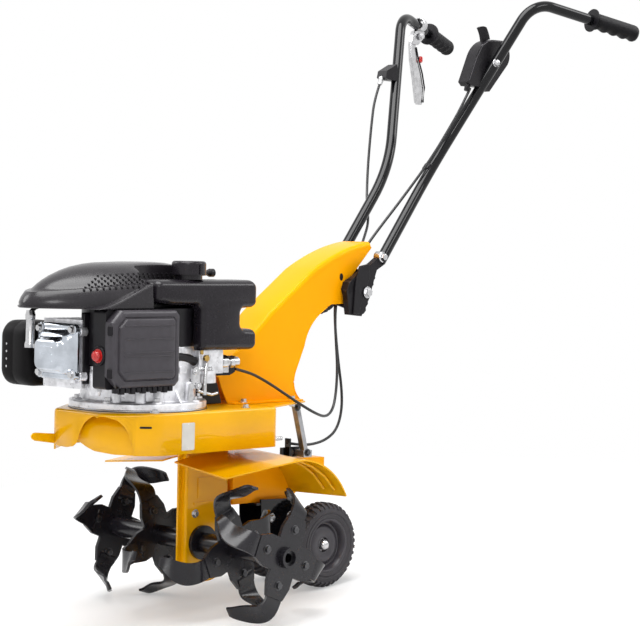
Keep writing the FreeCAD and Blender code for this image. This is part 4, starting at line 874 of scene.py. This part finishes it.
def sheet_fastenings():
    """Bolts through the pan, the column's feet, the stay and the chain case."""
    shape, dark = bmesh.new(), bmesh.new()
    feet = ((46, 60), (46, 176), (-46, 60), (-46, 176))
    pan = ((102, 12), (-102, 12), (102, -186), (-102, -186))
    for places, proud, radius, head in ((feet, 2.6, 5.2, 5), (pan, 0, 5, 4.4)):
        for x, y in places:
            bolt(shape, (x, y, DECK_TOP + proud), UP, radius, head)
            bolt(shape, (x, y, DECK_TOP - 2.6), DOWN, radius, 6)
    for side in (1, -1):
        for place, radius in (((side * 13, -16, 50), 5), ((side * 28, 196, 30), 5.4),
                              ((side * 28, 150, 30), 5.4)):
            bolt(shape, place, (side, 0, 0), radius, 4)
    show("sheet_bolts", shape, ZINC)
    for place in ((37, 199, 221), (37, 226, 140), (14.5, 206, 140)):
        bolt(dark, place, LEFT, 4.6, 3.6)
    show("stay_bolts", dark, STEEL)


def data_plate():
    """The blank plate riveted to the pan's left side."""
    shape = bmesh.new()
    seat = facing((PAN_HALF + 0.1, -129, 195), LEFT)
    prism(shape, seat, oblong(27, 44, 1.5), -0.2, 0.7)
    for rivet in (-19, 19):
        lathe(shape, seat @ Matrix.Translation((0, rivet, 0.6)), [
            (0, 1.6), (0.7, 1.2), (0.9, 0.4)], 12)
    show("data_plate", shape, PLATE, edge=0.2)


def guard_ribs():
    """Pressed ribs down the rear of each guard, seen from beneath."""
    shape = bmesh.new()
    for side in (1, -1):
        for x in (100, 126):
            drop = (x - 15) / 137
            bar(shape, [(side * x, 92, 150.2 - 7 * drop), (side * (x + 3), 118, 144.5 - 6 * drop),
                        (side * (x + 5), 146, 131.5 - 4 * drop),
                        (side * (x + 6), 172, 113 - 2 * drop), (side * (x + 7), 196, 86)], 2.2, 10)
    show("guard_ribs", shape, SHADED_YELLOW)


def column_details():
    """The toothed clamp at the head, its bolts, and a dark disc that paints the shade in the wire's
    window in the column's side.
    """
    teeth, silver, dark = bmesh.new(), bmesh.new(), bmesh.new()
    sector = []
    for n in range(15):
        share = n / 14
        tooth = 2.6 if n % 2 else -0.6
        sector.append((381 - 30 * share ** 1.25 + tooth, 466 - 82 * share))
    sector += [(336, 381), (340, 400), (352, 430), (362, 466)]
    band = [(330, 470), (352, 474), (356, 452), (345, 422), (334, 400), (330, 384), (314, 384),
            (316, 404), (318, 430), (322, 452)]
    hook = [(306, 441), (316, 447), (322, 438), (316, 424), (305, 418), (301, 428)]
    for side in (1, -1):
        out = (side, 0, 0)
        for outline, low, high in ((sector, 0, 9), (band, 13, 17.5), (hook, -3, 14)):
            prism(teeth, side_view(side, 41), outline, low, high)
        bolt(silver, (side * 61, 347, 423), out, 7.5, 5, 1.4)
        lathe(silver, facing((side * 44, 389, 487), out), [
            (0, 8), (0, 10), (14, 10), (16, 8.5)], 24)
        bolt(silver, (side * 59, 389, 487), out, 6.2, 4.5, 1.3)
        # the window is a thin black disc on the sheet: painted shade in its opening
        window = facing((side * 37.6, 302, 450), out) @ Matrix.Scale(1.5, 4, (0, 1, 0))
        lathe(dark, window, [(0, 4.4), (0.7, 4.4), (0.7, 1)], 24)
    show("clamp_teeth", teeth, BLACK, body="handlebar", edge=0.8)
    show("clamp_bolts", silver, ZINC, body="handlebar")
    show("column_window_shade", dark, BLACK)


# ---- handlebar
TUBE_TOP, GRIP_START = Vector((165, 673, 970)), Vector((205, 800, 945.5))
TUBE_RUN = (-40, 127, -24.5)
GRIP_LONG, GRIP_RAD, GRIP_STEPS, RING_COUNT, RING_STEP = 108, 16.5, 40, 32, 2.9
HOLLOW_DEEP, HOLLOW_STEP, HOLLOWS_START, HOLLOWS_END = 3.4, 23, 10, 102


def grip(side, which):
    """A moulded grip: guard flange, fine rings, and finger hollows beneath."""
    mirror = Matrix.Scale(side, 4, LEFT)
    start, top = mirror @ GRIP_START, mirror @ TUBE_TOP
    axis = (start - top).normalized()
    seat = facing(start + axis * 0.5, axis)
    down = (seat.to_3x3().inverted() @ Vector(DOWN)).to_2d().normalized()
    # (place along the grip, how far its surface stands over the grip's radius)
    profile = [(0, 2), (0.6, 5.6), (3.0, 5.8), (3.8, 4.6), (4.4, -3), (7, -3)]
    for n in range(RING_COUNT):
        at = 8 + n * RING_STEP
        profile += [(at, -1.3), (at + 0.7, -0.4), (at + 1.9, -0.4)]
    profile += [(GRIP_LONG - 5, -1), (GRIP_LONG - 2.2, -2.4), (GRIP_LONG - 0.6, -5.5),
                (GRIP_LONG - 0.3, 2 - GRIP_RAD)]
    loops = []
    for at, over in profile:
        hollow = 0
        if HOLLOWS_START < at < HOLLOWS_END:
            turn = 2 * math.pi * (at - HOLLOWS_START) / HOLLOW_STEP
            hollow = HOLLOW_DEEP * (0.5 - 0.5 * math.cos(turn))
        loop = []
        for x, y in circle(1, GRIP_STEPS):
            radius = GRIP_RAD + over - hollow * max(0.0, x * down.x + y * down.y) ** 2
            loop.append(seat @ Vector((radius * x, radius * y, at)))
        loops.append(loop)
    shape = bmesh.new()
    rings(shape, loops)
    show(f"grip_{which}_moulded", shape, GRIP, f"grip_{which}", "handlebar", smooth=50)


def clutch_blade():
    """The hand lever: a pressed channel, slim at its perch, with painted shade along its far edge.
    """
    perch = bmesh.new()
    outline = [(728, 918), (731, 885), (741, 846), (750, 801), (755, 797), (767, 797),
               (770, 802), (771, 832), (763, 861), (750, 891), (744, 918)]
    prism(perch, SIDE, [(731, 917), (748, 916), (764, 930), (768, 944), (752, 950), (738, 944),
                        (730, 930)], -197, -185)
    lathe(perch, facing((-186, 754, 958), TUBE_RUN), [
        (-9, 9.8), (-9, 13), (9, 13), (9, 9.8)], 28, closed=True)
    show("clutch_perch_cast", perch, ZINC, "clutch_perch", "handlebar", edge=1.5)
    draw("clutch_lever_blade", ZINC, (prism, SIDE, outline, -195, -189),
         (bar, [(-188, y, z) for y, z in outline[:5]], 1.8, 8),
         stands="clutch_lever", body="handlebar", edge=1)
    # a black rod along the blade's far edge: painted shade on the channel's side
    draw("clutch_lever_edge_shade", BLACK, (bar, [
        (-188, 745, 912), (-187.5, 751, 891), (-187, 764, 861), (-187, 772, 832),
        (-187, 769, 802)], 1.6, 8), body="handlebar")


def control_details():
    """Pivot bolt and raised border on the throttle case, drawn lighter as a painted highlight,
    latch, clips and wire ends.
    """
    silver, dark = bmesh.new(), bmesh.new()
    bolt(silver, (129, 612, 852), (1, -0.3, 0.1), 6, 4, 1.3)
    border = [(556, 816), (576, 860), (592, 884), (608, 893), (622, 895), (648, 896)]
    # the border bars are raised, and their lighter satin over the black case is a painted highlight
    # along its edge
    draw("throttle_piping_highlight", SATIN, (bar, [(111, y, z) for y, z in border], 1.5, 8),
         (bar, [(111, y + 6, z - 7) for y, z in border], 0.8, 8), body="handlebar")
    lathe(dark, facing((104, 560, 806), (-0.1, -0.4, -0.9)), [(-6, 6), (2, 5), (9, 3.6)], 18)
    bolt(silver, (-181, 752, 934), LEFT, 5.5, 4, 1.3)
    lathe(silver, facing((-120, 566.5, 826), (0, 0.4, 0.9)), [
        (-7, 3.2), (-7, 4.6), (3, 4.6), (3, 6), (8, 6)], 18)
    lathe(dark, facing((54, 515, 651), (0.1, 0.63, 0.78)), [
        (-5, 9.5), (-5, 12.2), (5, 12.2), (5, 9.5)], 24, closed=True)
    show("control_bolts", silver, ZINC, body="handlebar")
    show("control_trim", dark, BLACK, body="handlebar")
    draw("clutch_latch", RED, (prism, facing((-186, 757, 888), (1, -0.6, 0)),
                               oblong(9, 15, 4), -4, 4, 0.8), body="handlebar", edge=2)


fan_cover()
spark_boot()
rocker_cover()
filter_cover()
fuel_tank()
filter_details()
cast_details()
governor_details()
muffler()
for wheel_side, wheel_name in ((1, "left"), (-1, "right")):
    tyre(wheel_side, wheel_name)
    wheel_details(wheel_side, wheel_name)
    grip(wheel_side, wheel_name)
tine_bolts()
deck()
deck_details()
column_sheet()
strut()
clutch_blade()
sheet_fastenings()
data_plate()
guard_ribs()
column_details()
control_details()


# ---- studio
# the floor fades into the background between two distances from the middle, in metres
FLOOR_REACH, FADE_START, FADE_END, FADE_LEAST = 30, 0.38, 1.25, 0.3
SKY_LIGHT, LAMPS_AIM = 0.46, Vector((0, 0, 0.4))
LAMPS = {"top": ((0.2, -0.7, 3.4), 2.8, 140), "key": ((-2.4, -1.8, 2.4), 1.4, 26),
         "front": ((2.2, -2.6, 2.0), 1.0, 24), "rear": ((1.8, 2.4, 2.4), 1.4, 26),
         "side": ((3.0, 0.8, 2.4), 0.9, 12)}


def background_rays(tree):
    """One for the rays that show the background: the camera's and those off metal or glass."""
    path = add_node(tree, "LightPath").outputs
    total = path["Is Camera Ray"]
    for kind in ("Is Glossy Ray", "Is Transmission Ray"):
        total = add_node(tree, "Math", {0: total, 1: path[kind]}, "MAXIMUM").outputs["Value"]
    return total


def floor():
    """A pale floor that keeps the machine's shadow and fades into white with distance."""
    mesh = bpy.data.meshes.new("floor")
    corners = ((-1, -1), (1, -1), (1, 1), (-1, 1))
    mesh.from_pydata([(x * FLOOR_REACH, y * FLOOR_REACH, 0) for x, y in corners],
                     [], [(0, 1, 2, 3)])
    stand("floor", mesh)
    pale = bpy.data.materials.new("pale_floor")
    pale.use_nodes = True
    tree = pale.node_tree
    shader = tree.nodes["Principled BSDF"]
    for socket, value in (("Base Color", (0.9, 0.9, 0.9, 1)), ("Roughness", 0.95),
                          ("Specular IOR Level", 0)):
        shader.inputs[socket].default_value = value
    place = add_node(tree, "TexCoord").outputs["Object"]
    out = add_node(tree, "VectorMath", {0: place}, "LENGTH").outputs["Value"]
    fade = add_node(tree, "MapRange", {"Value": out}, From_Min=FADE_START, From_Max=FADE_END,
                    To_Min=FADE_LEAST).outputs["Result"]
    seen = add_node(tree, "Math", {0: fade, 1: background_rays(tree)}, "MULTIPLY")
    glow = add_node(tree, "Emission")
    blend = add_node(tree, "MixShader", {"Fac": seen.outputs["Value"], 1: shader.outputs["BSDF"],
                                         2: glow.outputs["Emission"]})
    tree.links.new(blend.outputs["Shader"], tree.nodes["Material Output"].inputs["Surface"])
    mesh.materials.append(pale)


def sky():
    """A white world where the background shows, and a plain soft light elsewhere."""
    world = bpy.data.worlds.new("studio")
    bpy.context.scene.world = world
    world.use_nodes = True
    tree = world.node_tree
    light = tree.nodes["Background"].inputs
    light["Color"].default_value = (1, 1, 1, 1)
    level = add_node(tree, "MapRange", {"Value": background_rays(tree)},
                     To_Min=SKY_LIGHT, To_Max=1.0)
    tree.links.new(level.outputs["Result"], light["Strength"])


def lamps():
    """Soft round lamps about the machine, each aimed at its middle."""
    for name, (spot, size, power) in LAMPS.items():
        lamp = bpy.data.lights.new(name, "AREA")
        lamp.shape, lamp.size, lamp.energy = "DISK", size, power
        held = stand(name, lamp)
        held.location, held.rotation_mode = spot, "QUATERNION"
        held.rotation_quaternion = (Vector(spot) - LAMPS_AIM).to_track_quat("Z", "Y")


floor()
sky()
lamps()
bpy.context.scene.view_settings.view_transform = "Standard"
